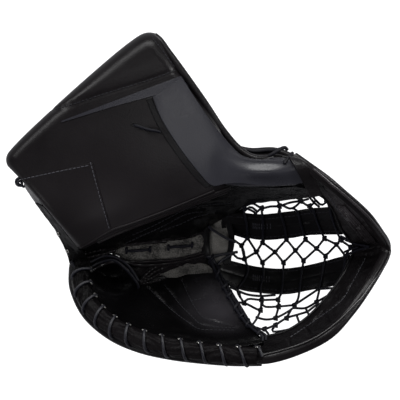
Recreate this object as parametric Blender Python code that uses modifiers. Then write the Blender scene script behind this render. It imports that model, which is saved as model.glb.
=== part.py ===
"""Ice-hockey goalkeeper's catching glove, lying on its back with the pocket facing up.

Metres, +Z up. +X runs from the cuff to the tip of the pocket, +Y from the fingers to the thumb.
Outlines are in millimetres and are scaled as the meshes are made.
"""

import math

import bmesh
import bpy
import numpy as np
from mathutils import Matrix, Vector

MM = 0.001
CLEARANCE = 0.5
PANEL_CLEARANCE = 0.9

# The break: the line the glove folds on, across the heel and the tip of the pocket.
BREAK_Y = -54.0
BREAK_Z = 100.0

# Layers of the cuff and of the thumb, from the face down.
COVER = 2.0
CUFF_DEPTH = 23.0
CUFF_FOAM = 14.5
CUFF_BOARD = 2.2
CUFF_LINING = 1.5
THUMB_DEPTH = 16.0
THUMB_FOAM = 5.0
THUMB_SHIELD = 1.8
THUMB_SLOPE = 1.6
OVERLAY = 1.2
CORNER_ROUND = 0.07
PIPING_RADIUS = 3.6

# Layers of the palm, from the catching face down.
PALM_LEATHER = 2.0
PALM_FELT = 4.0
PALM_BOARD = 1.6
PALM_HOLLOW = 1.6

# The rolled and laced rim, and the bound rim of the pocket.
ROLL_RADIUS = 8.5
LACE_RADIUS = 1.6
LACE_TURNS = 13
POINTS_A_TURN = 24
BINDING_RADIUS = 3.2
RIM_WALL = 5.0
NET_RAIL = 3.0
RAIL_MARGIN = 0.12

# The pocket: a laced net over two webs, seven columns of lace across it.
POCKET_CENTRE = (95.0, -56.0)
POCKET_FLOOR = 24.0
NET_COLUMNS = 7
NET_STRAND = 2.4
UPPER_ROWS = (0.02, 0.10, 0.295)
MIDDLE_ROWS = (0.333, 0.392, 0.451)
LOWER_ROWS = (0.485, 0.68, 0.77, 0.85, 0.92, 0.985)
WEB_THICK = 3.0

# Back of the glove.
BACK_PAD = 12.0
BACK_DROP = 15.2
BACK_FLAT_FROM = 0.62
WRIST_PAD = 14.0
STRAP_THICK = 2.5
STRAP_HEIGHT = 11.5
HAND_STRAP_HEIGHT = 3.0
FLAP_THICK = 3.5
STALL_RADIUS = 9.5
STALL_WALL = 1.5

# Directions across and along the forearm, and the middle of the cuff.
ACROSS_ARM = np.array((0.744, 0.669, 0.0))
ALONG_ARM = np.array((0.669, -0.744, 0.0))
CUFF_MIDDLE = np.array((-85.0, 55.0, 0.0))

UP = (0.0, 0.0, 1.0)
DOWN = (0.0, 0.0, -1.0)

BLACK_LEATHER = ("black_leather", (0.012, 0.011, 0.012), 0.45, 0.0)
SMOOTH_LEATHER = ("smooth_leather", (0.016, 0.015, 0.016), 0.35, 0.0)
GREY_LEATHER = ("grey_leather", (0.052, 0.052, 0.062), 0.45, 0.0)
GREY_FELT = ("grey_felt", (0.070, 0.065, 0.060), 0.95, 0.0)
LACE = ("waxed_lace", (0.013, 0.013, 0.019), 0.55, 0.0)
FOAM = ("foam", (0.030, 0.030, 0.032), 0.95, 0.0)
BOARD = ("plastic_board", (0.022, 0.022, 0.024), 0.40, 0.0)
LINING = ("lining_cloth", (0.020, 0.020, 0.022), 0.90, 0.0)
WEBBING = ("strap_webbing", (0.014, 0.014, 0.015), 0.80, 0.0)
METAL = ("nickel", (0.62, 0.61, 0.58), 0.28, 1.0)


def spot(points, t):
    """The place at t, 0 to 1, on a smooth curve through the points."""
    points = np.asarray(points, float)
    first = 2 * points[0] - points[1]
    last = 2 * points[-1] - points[-2]
    padded = np.vstack((first, points, last))
    along = min(max(t, 0.0), 1.0) * (len(points) - 1)
    start = min(int(along), len(points) - 2)
    f = along - start
    a, b, c, d = padded[start : start + 4]
    return 0.5 * (2 * b + (c - a) * f + (2 * a - 5 * b + 4 * c - d) * f**2 + (3 * b - a - 3 * c + d) * f**3)


def route(points, count):
    """Evenly spaced places on the smooth curve through the points."""
    fine = np.array([spot(points, t) for t in np.linspace(0, 1, 40 * len(points))])
    lengths = np.concatenate(((0,), np.cumsum(np.linalg.norm(np.diff(fine, axis=0), axis=1))))
    stops = np.linspace(0, lengths[-1], count)
    return np.column_stack([np.interp(stops, lengths, fine[:, axis]) for axis in range(3)])


def loft(*sections):
    """The surface through section curves: u runs along each, v from the first to the last."""

    def surface(u, v):
        across = np.array([spot(section, u) for section in sections])
        return spot(across, v)

    return surface


def normal(surface, u, v, toward):
    """The unit normal of a surface, on the side that a direction points to."""
    step = 0.01
    low_u, high_u = max(u - step, 0.0), min(u + step, 1.0)
    low_v, high_v = max(v - step, 0.0), min(v + step, 1.0)
    along = surface(high_u, v) - surface(low_u, v)
    aside = surface(u, high_v) - surface(u, low_v)
    square = np.cross(along, aside)
    square = square / np.linalg.norm(square)
    return square if square @ np.asarray(toward) > 0 else -square


def beside(surface, distance, toward):
    """The surface moved along its normals."""

    def moved(u, v):
        return surface(u, v) + distance * normal(surface, u, v, toward)

    return moved


def part_of(surface, corners):
    """The four-cornered piece of a surface between the given (u, v) corners."""
    a, b, c, d = (np.array(corner, float) for corner in corners)

    def piece(u, v):
        place = (1 - v) * ((1 - u) * a + u * b) + v * ((1 - u) * d + u * c)
        return surface(*place)

    return piece


def rounded(surface, amount):
    """The surface with its corners drawn in."""

    def inner(u, v):
        x, y = 2 * u - 1, 2 * v - 1
        pull = amount * (x * y) ** 6
        return surface(0.5 + 0.5 * x * (1 - pull), 0.5 + 0.5 * y * (1 - pull))

    return inner


def lowered(surface, depth):
    """The surface moved straight down."""

    def moved(u, v):
        return surface(u, v) - np.array((0, 0, depth))

    return moved


def tray(surface, depth, columns, rows):
    """The surface with its outer ring of cells turned down as side walls."""

    def turned(u, v):
        a, b = (u * columns - 1) / (columns - 2), (v * rows - 1) / (rows - 2)
        inside = min(max(a, 0.0), 1.0), min(max(b, 0.0), 1.0)
        outside = max(abs(a - inside[0]) * (columns - 2), abs(b - inside[1]) * (rows - 2))
        return surface(*inside) - np.array((0, 0, outside * depth))

    return turned


def finish_of(kind):
    """The material of one finish, made once."""
    name, colour, roughness, metallic = kind
    if name in bpy.data.materials:
        return bpy.data.materials[name]
    material = bpy.data.materials.new(name)
    material.use_nodes = True
    shader = material.node_tree.nodes["Principled BSDF"]
    shader.inputs["Base Color"].default_value = (*colour, 1.0)
    shader.inputs["Roughness"].default_value = roughness
    shader.inputs["Metallic"].default_value = metallic
    return material


def place(name, data, kind, holder):
    """A new part in the glove's collection, carried by an empty."""
    part = bpy.data.objects.new(name, data)
    data.materials.append(finish_of(kind))
    bpy.data.collections["catching_glove"].objects.link(part)
    part.parent = holder
    part.matrix_parent_inverse = holder.matrix_world.inverted()
    return part


def shell(name, holder, kind, surface, thickness, toward, columns=10, rows=6):
    """An open surface with a thickness on the side that toward points to."""
    bm = bmesh.new()
    bmesh.ops.create_grid(bm, x_segments=columns, y_segments=rows, size=0.5)
    for vertex in bm.verts:
        vertex.co = surface(vertex.co.x + 0.5, vertex.co.y + 0.5) * MM
    bmesh.ops.remove_doubles(bm, verts=bm.verts, dist=1e-6)
    bm.normal_update()
    lean = sum((face.normal.dot(toward) * face.calc_area() for face in bm.faces), 0.0)
    mesh = bpy.data.meshes.new(name)
    bm.to_mesh(mesh)
    bm.free()
    mesh.shade_smooth()
    part = place(name, mesh, kind, holder)
    wall = part.modifiers.new("Thickness", "SOLIDIFY")
    wall.thickness = thickness * MM
    wall.offset = 1.0 if lean > 0 else -1.0
    wall.use_even_offset = True
    return part


def tube(name, holder, kind, points, radius, sides=2, closed=False):
    """A round cord or roll along the points."""
    data = bpy.data.curves.new(name, "CURVE")
    data.dimensions = "3D"
    data.bevel_depth = radius * MM
    data.bevel_resolution = sides
    data.use_fill_caps = not closed
    spline = data.splines.new("POLY")
    spline.points.add(len(points) - 1)
    for stop, point in zip(spline.points, points):
        stop.co = (*(np.asarray(point) * MM), 1.0)
    spline.use_cyclic_u = closed
    return place(name, data, kind, holder)


def empty(name, location, parent=None):
    """An axis or group that carries parts."""
    holder = bpy.data.objects.new(name, None)
    holder.empty_display_size = 0.03
    holder.location = np.asarray(location, float) * MM
    bpy.data.collections["catching_glove"].objects.link(holder)
    if parent:
        holder.parent = parent
        holder.matrix_parent_inverse = parent.matrix_world.inverted()
    bpy.context.view_layer.update()
    return holder


# Lines that more than one part follows.
ROLL = (
    (-131, -64, 80), (-133, -78, 90), (-131, -97, 104), (-118, -121, 119), (-93, -141, 134), (-64, -153, 146),
    (-32, -160, 152), (1, -164, 155), (35, -166, 156), (60, -166, 156),
)  # fmt: skip
PALM_TOP = ((-103, -74, 65), (-80, -73, 60), (-55, -72, 56), (-24, -70, 54), (4, -66, 53))
PALM_RIM = (
    (-115, -99, 105), (-104, -116, 117), (-89, -127, 127), (-53, -143, 141), (-8, -150, 148), (34, -154, 148),
    (60, -152, 145),
)  # fmt: skip
NET_LEFT = (
    (52, -7, 0), (38, -18, 0), (40, -45, 0), (39, -56, 0), (42, -69, 0), (33, -91, 0), (43, -110, 0),
    (60, -130, 0), (74, -145, 0),
)  # fmt: skip
NET_RIGHT = (
    (126, -7, 0), (141, -24, 0), (154, -42, 0), (158, -53, 0), (154, -64, 0), (140, -86, 0), (122, -108, 0),
    (107, -123, 0), (93, -136, 0),
)  # fmt: skip


def pocket_height(x, y):
    """Height of the bowl that the net and the webs hang in."""
    from_centre = x - POCKET_CENTRE[0]
    aside = y - POCKET_CENTRE[1]
    rise_x = 42 * (from_centre / 75) ** 2 if from_centre > 0 else 20 * (from_centre / 75) ** 2
    rise_y = 44 * (aside / 55) ** 1.7 if aside > 0 else 68 * (-aside / 90) ** 1.7
    return POCKET_FLOOR + rise_x + rise_y


def pocket(u, v):
    """The bowl of the pocket: u from the palm to the tip, v from the thumb to the fingers."""
    place = spot(NET_LEFT, v) + u * (spot(NET_RIGHT, v) - spot(NET_LEFT, v))
    return np.array((place[0], place[1], pocket_height(place[0], place[1])))


def cuff_face(u, v):
    """The face of the cuff: u across the arm to the thumb side, v from the elbow end to the hand."""
    face = loft(
        ((-213, 42, 136), (-130, 119, 141), (-46, 190, 136)),
        ((-175, -1, 140), (-89, 63, 150), (-4, 126, 144)),
        ((-150, -33, 126), (-63, 16, 153), (27, 76, 150)),
        ((-134, -42, 112), (-94, -31, 133), (-42, -13, 147), (1, 2, 152), (32, 14, 154)),
    )
    return rounded(face, CORNER_ROUND)(u, v)


def thumb_face(u, v):
    """The face of the thumb: u from its outer edge to the pocket, v from the cuff to its end."""
    face = loft(
        ((33, 67, 150), (34.5, 43, 157), (35.5, 15, 154)),
        ((53, 46, 147), (55, 30, 163), (55, 15, 152)),
        ((77, 45, 147), (77, 30, 163), (77, 15, 152)),
        ((97, 40, 143), (98, 29, 153), (97, 17, 146)),
    )
    return face(u, v)


def make_cuff(body):
    """The cuff: a leather cover over foam, a stiff board and a lining, with its sewn-on panels."""
    columns, rows = 12, 10
    cover = tray(cuff_face, CUFF_DEPTH - COVER, columns, rows)
    shell("cuff_cover", body, BLACK_LEATHER, cover, COVER, DOWN, columns, rows)
    inside = part_of(cuff_face, ((0.05, 0.03), (0.965, 0.03), (0.965, 0.92), (0.10, 0.90)))
    depth = COVER + CLEARANCE
    shell("cuff_foam", body, FOAM, beside(inside, depth, DOWN), CUFF_FOAM, DOWN)
    depth += CUFF_FOAM + CLEARANCE
    shell("cuff_board", body, BOARD, beside(inside, depth, DOWN), CUFF_BOARD, DOWN)
    depth += CUFF_BOARD + CLEARANCE
    shell("cuff_lining", body, LINING, beside(inside, depth, DOWN), CUFF_LINING, DOWN)
    corner = part_of(cuff_face, ((0.03, 0.16), (0.35, 0.34), (0.25, 0.97), (0.03, 0.97)))
    shell("cuff_corner_panel", body, BLACK_LEATHER, beside(corner, PANEL_CLEARANCE, UP), OVERLAY, UP, 6, 6)
    band = part_of(cuff_face, ((0.84, 0.30), (0.985, 0.26), (0.985, 0.97), (0.87, 0.97)))
    shell("cuff_grey_panel", body, GREY_LEATHER, beside(band, PANEL_CLEARANCE, UP), OVERLAY, UP, 4, 8)
    lift = CLEARANCE + LACE_RADIUS
    tie = [beside(cuff_face, lift, UP)(0.61 + 0.11 * t, 0.335 + 0.115 * t) for t in np.linspace(0, 1, 7)]
    tube("cuff_tie_lace", body, LACE, tie, LACE_RADIUS)
    reach = CLEARANCE + PIPING_RADIUS
    outward = np.array((0.851 * reach, 0.525 * reach, -1.6 * PIPING_RADIUS))
    side = [cuff_face(1.0, v) + outward for v in np.linspace(0.10, 0.66, 12)]
    tube("cuff_side_piping", body, SMOOTH_LEATHER, side, PIPING_RADIUS)


def make_thumb(body):
    """The thumb: its cover, foam and shield, the leather wall down to the break, its tab and its laces."""
    columns, rows = 8, 10
    cover = tray(thumb_face, THUMB_DEPTH - COVER, columns, rows)
    shell("thumb_cover", body, GREY_LEATHER, cover, COVER, DOWN, columns, rows)
    inside = part_of(thumb_face, ((0.18, 0.10), (0.82, 0.10), (0.82, 0.88), (0.18, 0.88)))
    depth = THUMB_SLOPE * COVER + CLEARANCE
    shell("thumb_foam", body, FOAM, lowered(inside, depth), THUMB_FOAM, DOWN, 6, 6)
    depth += THUMB_SLOPE * THUMB_FOAM + 2 * CLEARANCE
    shell("thumb_shield", body, BOARD, lowered(inside, depth), THUMB_SHIELD, DOWN, 6, 6)
    under_cuff = lowered(cuff_face, CUFF_DEPTH + 2 * CLEARANCE)
    under_thumb = lowered(thumb_face, THUMB_DEPTH + 2 * CLEARANCE)
    top = [under_cuff(u, 0.985) for u in (0.28, 0.52, 0.75, 0.96)]
    top += [under_thumb(0.93, v) for v in (0.3, 0.65, 1.0)]
    foot = ((-101, -49, 72), (-55, -40, 64), (-8, -31, 60), (18, -22, 60), (36, -10, 64), (68, -1, 72), (108, 4, 84))
    wall = loft(top, foot)
    shell("thumb_wall", body, SMOOTH_LEATHER, wall, 2.5, (0, 1, -1), 14, 5)
    back = loft(
        ((33, 60, 112), (55, 52, 112), (82, 52, 114), (107, 42, 116), (122, 31, 116)),
        ((18, 54, 50), (51, 46, 50), (84, 45, 52), (108, 37, 55), (120, 26, 58)),
        ((-5, 46, 0), (32, 40, 0), (71, 38, 0), (98, 32, 0), (112, 24, 0)),
        ((-11, 13, 0), (23, 11, 0), (63, 11, 0), (95, 11, 0), (110, 10, 0)),
    )

    def grounded(u, v):
        place = back(u, v)
        return np.array((place[0], place[1], max(place[2], 0.0)))

    shell("thumb_back_pad", body, BLACK_LEATHER, grounded, BACK_PAD, (0, -0.6, 1), 10, 9)
    tab = loft(
        ((100, 44, 161), (107, 36, 169), (116, 22, 160), (123, 11, 134)),
        ((112, 47, 160), (120, 36, 166), (128, 23, 156), (134, 12, 130)),
    )
    shell("thumb_tab", body, SMOOTH_LEATHER, tab, 2.5, UP, 8, 3)
    stall("thumb_stall", body, (14, 8, 66), (80, 19, 92))
    lacing = route(((40, 60, 124), (60, 57, 126), (78, 58, 130), (92, 56, 137), (97, 49, 144)), 14)
    tube("thumb_lace", body, LACE, lacing, LACE_RADIUS)


def make_rims(fingers, thumb):
    """The bound rim of the pocket: a corded edge, a stiff wall and the rail that the net is laced to."""
    halves = (
        (
            "finger", fingers,
            ((72, -173, 156), (104, -164, 156), (140, -147, 150), (165, -121, 139), (187, -91, 122),
             (198, -68, 102), (200.7, -60, 93)),
            ((73, -155, 113), (98, -147, 112), (120, -132, 109), (146, -104, 100), (164, -81, 91),
             (180, -65, 80), (183, -60, 77)),
            ((80, -146, 99), (96, -139.5, 98), (113, -124, 95), (136, -97, 87), (152, -76, 77),
             (165, -64, 66), (167, -60, 64)),
        ),
        (
            "thumb", thumb,
            ((116, 36, 158), (136, 22, 155), (155, 6, 148), (181, -18, 131), (197, -39, 105), (200.7, -47, 94)),
            ((122, 17, 122), (139, 2, 111), (152, -11, 104), (166, -28, 94), (179, -43, 82), (182, -47, 78)),
            ((117, 10, 108), (132, -4, 96), (144, -17, 88), (156, -32, 79), (166, -44, 69), (168, -47, 66)),
        ),
    )  # fmt: skip
    for side, body, edge, seam, inner in halves:
        tube(side + "_rim_binding", body, SMOOTH_LEATHER, route(edge, 22), BINDING_RADIUS)
        inward = np.subtract(seam, edge)
        inward *= (BINDING_RADIUS + 2 * CLEARANCE) / np.linalg.norm(inward, axis=1)[:, None]
        shell(side + "_rim_wall", body, BLACK_LEATHER, loft(edge + inward, seam), RIM_WALL, DOWN, 12, 3)
        rail = part_of(loft(seam, inner), ((0.0, RAIL_MARGIN), (1.0, RAIL_MARGIN), (1.0, 1.0), (0.0, 1.0)))
        shell(side + "_net_rail", body, SMOOTH_LEATHER, rail, NET_RAIL, DOWN, 12, 2)
    tip = loft(
        ((167, -45, 50), (178, -45, 62), (188, -45, 71), (199, -45, 78)),
        ((167, -63, 50), (178, -63, 62), (188, -63, 71), (199, -63, 78)),
    )
    shell("tip_gusset", fingers, SMOOTH_LEATHER, tip, 2.0, DOWN, 6, 4)


def winding(path, radius, turns, steps):
    """A lace wound round a path, with a short straight run at each end."""
    spine = route(path, turns * steps + 1)
    tangents = np.gradient(spine, axis=0)
    tangents /= np.linalg.norm(tangents, axis=1)[:, None]
    upright = np.asarray(UP) - tangents * tangents[:, 2:]
    upright /= np.linalg.norm(upright, axis=1)[:, None]
    aside = np.cross(tangents, upright)
    turn = 2 * math.pi * np.arange(len(spine)) / steps
    points = spine + radius * (np.cos(turn)[:, None] * upright + np.sin(turn)[:, None] * aside)
    lead = points[0] + 2 * LACE_RADIUS * (points[0] - points[1]) / np.linalg.norm(points[0] - points[1])
    tail = points[-1] + 2 * LACE_RADIUS * (points[-1] - points[-2]) / np.linalg.norm(points[-1] - points[-2])
    return np.vstack((lead, points, tail))


def least_gap(points, radius, skip):
    """The least space between two stretches of a cord that are not neighbours."""
    spans = np.linalg.norm(points[:, None] - points[None], axis=2)
    far = np.abs(np.subtract.outer(np.arange(len(points)), np.arange(len(points)))) > skip
    return spans[far].min() - 2 * radius


def make_laced_rim(body):
    """The rolled rim of the fingers and the one long lace that is whipped round it."""
    tube("heel_roll", body, BLACK_LEATHER, route(ROLL, 36), ROLL_RADIUS)
    lace = winding(ROLL, ROLL_RADIUS + CLEARANCE + LACE_RADIUS, LACE_TURNS, POINTS_A_TURN)
    tube("rim_lacing", body, LACE, lace, LACE_RADIUS, sides=1)
    print(f"least gap of the rim lacing to itself: {least_gap(lace, LACE_RADIUS, POINTS_A_TURN // 3):.2f} mm")


def palm_face(u, v):
    """The catching face of the palm: u from the heel to the pocket, v from the break to the rim."""
    low, high = spot(PALM_TOP, u), spot(PALM_RIM, u)
    place = low + v * (high - low)
    place[2] = low[2] + (high[2] - low[2]) * v**PALM_HOLLOW
    return place


def make_palm(body):
    """The palm: leather, felt and board one under the other, its corded edge and the wall beside the forefinger."""
    shell("palm_leather", body, SMOOTH_LEATHER, palm_face, PALM_LEATHER, DOWN, 14, 8)
    inside = part_of(palm_face, ((0.05, 0.05), (0.97, 0.05), (0.97, 0.78), (0.10, 0.76)))
    depth = PALM_LEATHER + CLEARANCE
    shell("palm_felt", body, GREY_FELT, beside(inside, depth, DOWN), PALM_FELT, DOWN, 10, 7)
    depth += PALM_FELT + CLEARANCE
    shell("palm_board", body, BOARD, beside(inside, depth, DOWN), PALM_BOARD, DOWN, 10, 7)
    edge = [palm_face(1.0, v) + np.array((3.5, 1.0, 1.0)) for v in np.linspace(0.0, 0.96, 12)]
    tube("palm_edge_cord", body, LACE, edge, LACE_RADIUS)
    gusset = loft(
        ((8, -72, 38), (24, -97, 52), (42, -121, 80), (54, -137, 106)),
        ((3, -64, 15), (9, -86, 21), (21, -112, 44), (34, -130, 76)),
    )
    shell("forefinger_wall", body, SMOOTH_LEATHER, gusset, 2.0, (-1, 0, 0), 8, 4)


def make_finger_back(body):
    """The padded back of the fingers, flat where the glove rests on it, and the four finger stalls inside."""

    def back(u, v):
        heading = spot(ROLL, u + 0.02) - spot(ROLL, u - 0.02)
        heading /= np.linalg.norm(heading)
        upright = np.asarray(UP) - heading * heading[2]
        rim = spot(ROLL, u) - BACK_DROP * upright / np.linalg.norm(upright)
        base = np.array((-122 + 122 * u, BREAK_Y - 6, 0))
        place = rim + v * (base - rim)
        place[2] = rim[2] * max(0.0, 1 - (v / BACK_FLAT_FROM) ** 0.65)
        return place

    shell("finger_back_pad", body, BLACK_LEATHER, back, BACK_PAD, (0.2, 0.5, 1), 14, 10)
    for number in range(4):
        across = -72 + 21 * number
        stall(f"finger_stall_{number + 1}", body, (across, -74, 27), (across, -99 - 2 * number, 48))
    return back


def stall(name, body, mouth, end):
    """A cloth sleeve for one finger, open at the hand and closed at the fingertip."""
    mouth, end = np.array(mouth, float), np.array(end, float)
    length = np.linalg.norm(end - mouth)
    inner = STALL_RADIUS - STALL_WALL
    profile = (
        (0.0, length), (0.6 * STALL_RADIUS, length - 1.5), (STALL_RADIUS, length - 6), (STALL_RADIUS, 0.0),
        (inner, 0.0), (inner, length - 7), (0.6 * inner, length - 3.5), (0.0, length - 2.0),
    )  # fmt: skip
    bm = bmesh.new()
    rim = [bm.verts.new((radius * MM, 0, height * MM)) for radius, height in profile]
    for first, second in zip(rim, rim[1:]):
        bm.edges.new((first, second))
    bmesh.ops.spin(bm, geom=bm.verts[:] + bm.edges[:], axis=UP, cent=(0, 0, 0), angle=2 * math.pi, steps=12)
    bmesh.ops.remove_doubles(bm, verts=bm.verts, dist=1e-5)
    bmesh.ops.recalc_face_normals(bm, faces=bm.faces)
    mesh = bpy.data.meshes.new(name)
    bm.to_mesh(mesh)
    bm.free()
    mesh.shade_smooth()
    sleeve = place(name, mesh, LINING, body)
    sleeve.matrix_world = aimed(mouth, end)


def aimed(start, end):
    """The placing that stands a piece at start with its +Z along the line to end."""
    turn = Vector(end - start).to_track_quat("Z", "Y").to_matrix().to_4x4()
    return Matrix.Translation(Vector(start * MM)) @ turn


def make_pocket(fingers, thumb):
    """The pocket: a knotted net in front of two webs, and the felt base that they spring from."""
    webs = (
        ("web_strip_upper", thumb, ((-0.02, 0.125), (1.0, 0.125), (1.0, 0.275), (-0.02, 0.275))),
        ("web_strip_lower", fingers, ((-0.02, 0.505), (1.0, 0.505), (1.0, 0.655), (-0.02, 0.655))),
    )
    for name, body, corners in webs:
        strip = beside(part_of(pocket, corners), NET_STRAND / 2 + CLEARANCE, DOWN)
        shell(name, body, SMOOTH_LEATHER, strip, WEB_THICK, DOWN, 12, 3)
    make_nets(fingers, thumb)
    base = loft(((11, -26, 52), (23, -28, 48), (36, -37, 43)), ((11, -68, 52), (23, -69, 48), (36, -67, 43)))
    shell("pocket_base", fingers, GREY_FELT, base, 3.0, DOWN, 5, 5)
    bar = loft(((4, -32, 54), (10, -32, 54)), ((4, -62, 54), (10, -62, 54)))
    shell("pocket_base_bar", fingers, SMOOTH_LEATHER, bar, 3.0, DOWN, 2, 5)
    strip = loft(
        ((-104, -55, 66), (-55, -46, 60), (2, -39, 56)),
        ((-96, -69, 64), (-55, -68, 58), (2, -61, 55)),
    )
    shell("break_strip", fingers, GREY_FELT, strip, 2.5, DOWN, 8, 4)
    lift = beside(strip, CLEARANCE + LACE_RADIUS, UP)
    for name, first, last in (("left", 0.24, 0.46), ("right", 0.66, 0.88)):
        dash = [lift(u, 0.5) for u in np.linspace(first, last, 5)]
        tube("break_lace_" + name, fingers, LACE, dash, LACE_RADIUS)


def lace_net(name, body, gaps):
    """A net one strand thick: each gap is a ring of knots, as (column, row) on the pocket's bowl."""
    bm = bmesh.new()
    knots = {}
    last = NET_COLUMNS - 1
    for ring in gaps:
        ring = [corner for corner in ring if 0 <= corner[0] <= last]
        for column, row in ring:
            if (column, row) not in knots:
                knots[column, row] = bm.verts.new(pocket(column / last, row) * MM)
        bm.faces.new([knots[corner] for corner in ring])
    bmesh.ops.recalc_face_normals(bm, faces=bm.faces)
    mesh = bpy.data.meshes.new(name)
    bm.to_mesh(mesh)
    bm.free()
    net = place(name, mesh, LACE, body)
    strands = net.modifiers.new("Strands", "WIREFRAME")
    strands.thickness = NET_STRAND * MM
    strands.use_boundary = True
    strands.use_replace = True
    strands.use_even_offset = False


def diamond(column, top, middle, bottom):
    """The four knots of a diamond gap that stands on a column of the net."""
    return (column, top), (column - 0.5, middle), (column, bottom), (column + 0.5, middle)


def make_nets(fingers, thumb):
    """The three stretches of the net: over the thumb's web, between the webs, and over the fingers' web."""
    whole = range(NET_COLUMNS)
    spans = [(k, k + 0.5, k + 1) for k in range(NET_COLUMNS - 1)]
    tips, over, edge = UPPER_ROWS
    gaps = [((mid, tips), (a, over), (a, edge), (b, edge), (b, over)) for a, mid, b in spans]
    lace_net("net_upper", thumb, gaps)
    top, knot, bottom = MIDDLE_ROWS
    gaps = [((a, top), (mid, knot), (b, top)) for a, mid, b in spans]
    gaps += [diamond(k, top, knot, bottom) for k in whole]
    gaps += [((a, bottom), (b, bottom), (mid, knot)) for a, mid, b in spans]
    lace_net("net_middle", fingers, gaps)
    edge, over, first, second, third, last = LOWER_ROWS
    gaps = [((a, edge), (a, over), (mid, first), (b, over), (b, edge)) for a, mid, b in spans]
    gaps += [diamond(k, over, first, second) for k in whole]
    gaps += [diamond(mid, first, second, third) for _, mid, _ in spans]
    gaps += [diamond(k, second, third, last) for k in whole]
    lace_net("net_lower", fingers, gaps)


def make_wrist(thumb, wrist_hinge, hand_hinge):
    """The back of the wrist: its pad and flap, the two hook-and-loop straps and the ring of the wrist strap."""

    def arm(across, along, height):
        return CUFF_MIDDLE + across * ACROSS_ARM + along * ALONG_ARM + np.array((0, 0, height))

    pad = loft(
        (arm(-80, -60, 0), arm(0, -60, 0), arm(72, -60, 0)),
        (arm(-80, -22, 0), arm(0, -22, 0), arm(72, -22, 0)),
    )
    shell("wrist_pad", thumb, BLACK_LEATHER, pad, WRIST_PAD, UP, 6, 4)
    skirt = lowered(cuff_face, CUFF_DEPTH + 2 * CLEARANCE)
    rest = WRIST_PAD + 2 * CLEARANCE
    outer = loft(
        [skirt(0.012, v) for v in (0.16, 0.5, 0.84)],
        ((-194, 16, 66), (-172, -17, 62), (-150, -42, 56)),
        (arm(-78, -58, rest), arm(-78, -19, rest), arm(-78, 20, rest)),
    )
    shell("wrist_flap_outer", thumb, BLACK_LEATHER, outer, FLAP_THICK, (1, 1, 0), 8, 8)
    inner = loft(
        [skirt(0.985, v) for v in (0.2, 0.4, 0.6)],
        ((-32, 136, 70), (-14, 112, 70), (6, 84, 70)),
        (arm(70, -50, rest), arm(70, -15, rest), arm(70, 20, rest)),
    )
    shell("wrist_flap_inner", thumb, BLACK_LEATHER, inner, FLAP_THICK, (-1, -1, 0), 6, 8)
    strap = loft(
        (arm(-80, -18, STRAP_HEIGHT), arm(60, -18, STRAP_HEIGHT)),
        (arm(-80, 18, STRAP_HEIGHT), arm(60, 18, STRAP_HEIGHT)),
    )
    shell("wrist_strap", wrist_hinge, WEBBING, strap, STRAP_THICK, UP, 8, 2)
    ring = [
        arm(67 + 5 * math.cos(t), 2 + 19 * math.sin(t), STRAP_HEIGHT + 1)
        for t in np.linspace(0, 2 * math.pi, 20, endpoint=False)
    ]
    tube("wrist_ring", thumb, METAL, ring, 1.5, closed=True)
    near, far = BREAK_Y - 6 + CLEARANCE, BREAK_Y + 20
    back = loft(
        ((-112, near, HAND_STRAP_HEIGHT), (0, near, HAND_STRAP_HEIGHT)),
        ((-112, far, HAND_STRAP_HEIGHT), (0, far, HAND_STRAP_HEIGHT)),
    )
    shell("hand_strap", hand_hinge, WEBBING, back, STRAP_THICK, UP, 8, 2)


def main():
    for leftover in list(bpy.data.objects):
        bpy.data.objects.remove(leftover)
    bpy.context.scene.collection.children.link(bpy.data.collections.new("catching_glove"))
    fingers = empty("finger_half", (0, 0, 0))
    thumb = empty("thumb_half", (0, BREAK_Y, BREAK_Z))
    wrist_hinge = empty("wrist_strap_hinge", CUFF_MIDDLE - 80 * ACROSS_ARM + (0, 0, STRAP_HEIGHT), thumb)
    hand_hinge = empty("hand_strap_hinge", (-112, BREAK_Y, HAND_STRAP_HEIGHT), fingers)
    make_cuff(thumb)
    make_thumb(thumb)
    make_rims(fingers, thumb)
    make_laced_rim(fingers)
    make_palm(fingers)
    make_finger_back(fingers)
    make_pocket(fingers, thumb)
    make_wrist(thumb, wrist_hinge, hand_hinge)


main()
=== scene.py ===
"""Looks of an ice-hockey goalkeeper's catching glove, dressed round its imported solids.

Lengths are in millimetres in the shape lines below, and are scaled to metres as a piece is made.
A line given as (column, row, height) follows the camera: column and row are places in its 400 by 400 picture.
"""

import math
from typing import NamedTuple

import bpy
import numpy as np
from bpy.props import FloatProperty, FloatVectorProperty, PointerProperty
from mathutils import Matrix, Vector
from mathutils.bvhtree import BVHTree


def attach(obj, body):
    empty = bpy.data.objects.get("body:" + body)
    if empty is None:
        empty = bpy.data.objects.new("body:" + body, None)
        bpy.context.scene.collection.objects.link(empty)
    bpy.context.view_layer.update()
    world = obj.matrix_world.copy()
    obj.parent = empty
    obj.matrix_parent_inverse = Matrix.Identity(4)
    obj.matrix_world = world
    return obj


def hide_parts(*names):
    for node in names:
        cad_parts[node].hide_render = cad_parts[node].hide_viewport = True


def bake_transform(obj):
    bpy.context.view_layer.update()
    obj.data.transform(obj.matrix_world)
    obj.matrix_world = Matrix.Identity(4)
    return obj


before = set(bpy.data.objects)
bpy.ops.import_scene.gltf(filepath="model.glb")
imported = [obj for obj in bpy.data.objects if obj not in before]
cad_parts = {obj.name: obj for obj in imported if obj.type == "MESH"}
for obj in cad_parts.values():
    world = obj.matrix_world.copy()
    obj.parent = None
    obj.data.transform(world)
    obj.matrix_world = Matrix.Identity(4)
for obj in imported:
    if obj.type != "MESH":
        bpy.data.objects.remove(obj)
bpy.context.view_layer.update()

bl_info = {
    "name": "Catching Glove Dresser",
    "version": (1, 0, 0),
    "blender": (4, 5, 0),
    "location": "3D View > Sidebar > Glove",
    "description": "Models the leather, lacing, net and padding of a goalkeeper's catching glove",
    "category": "Object",
}

MM = 0.001
UP = np.array((0.0, 0.0, 1.0))
DOWN = -UP

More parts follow.
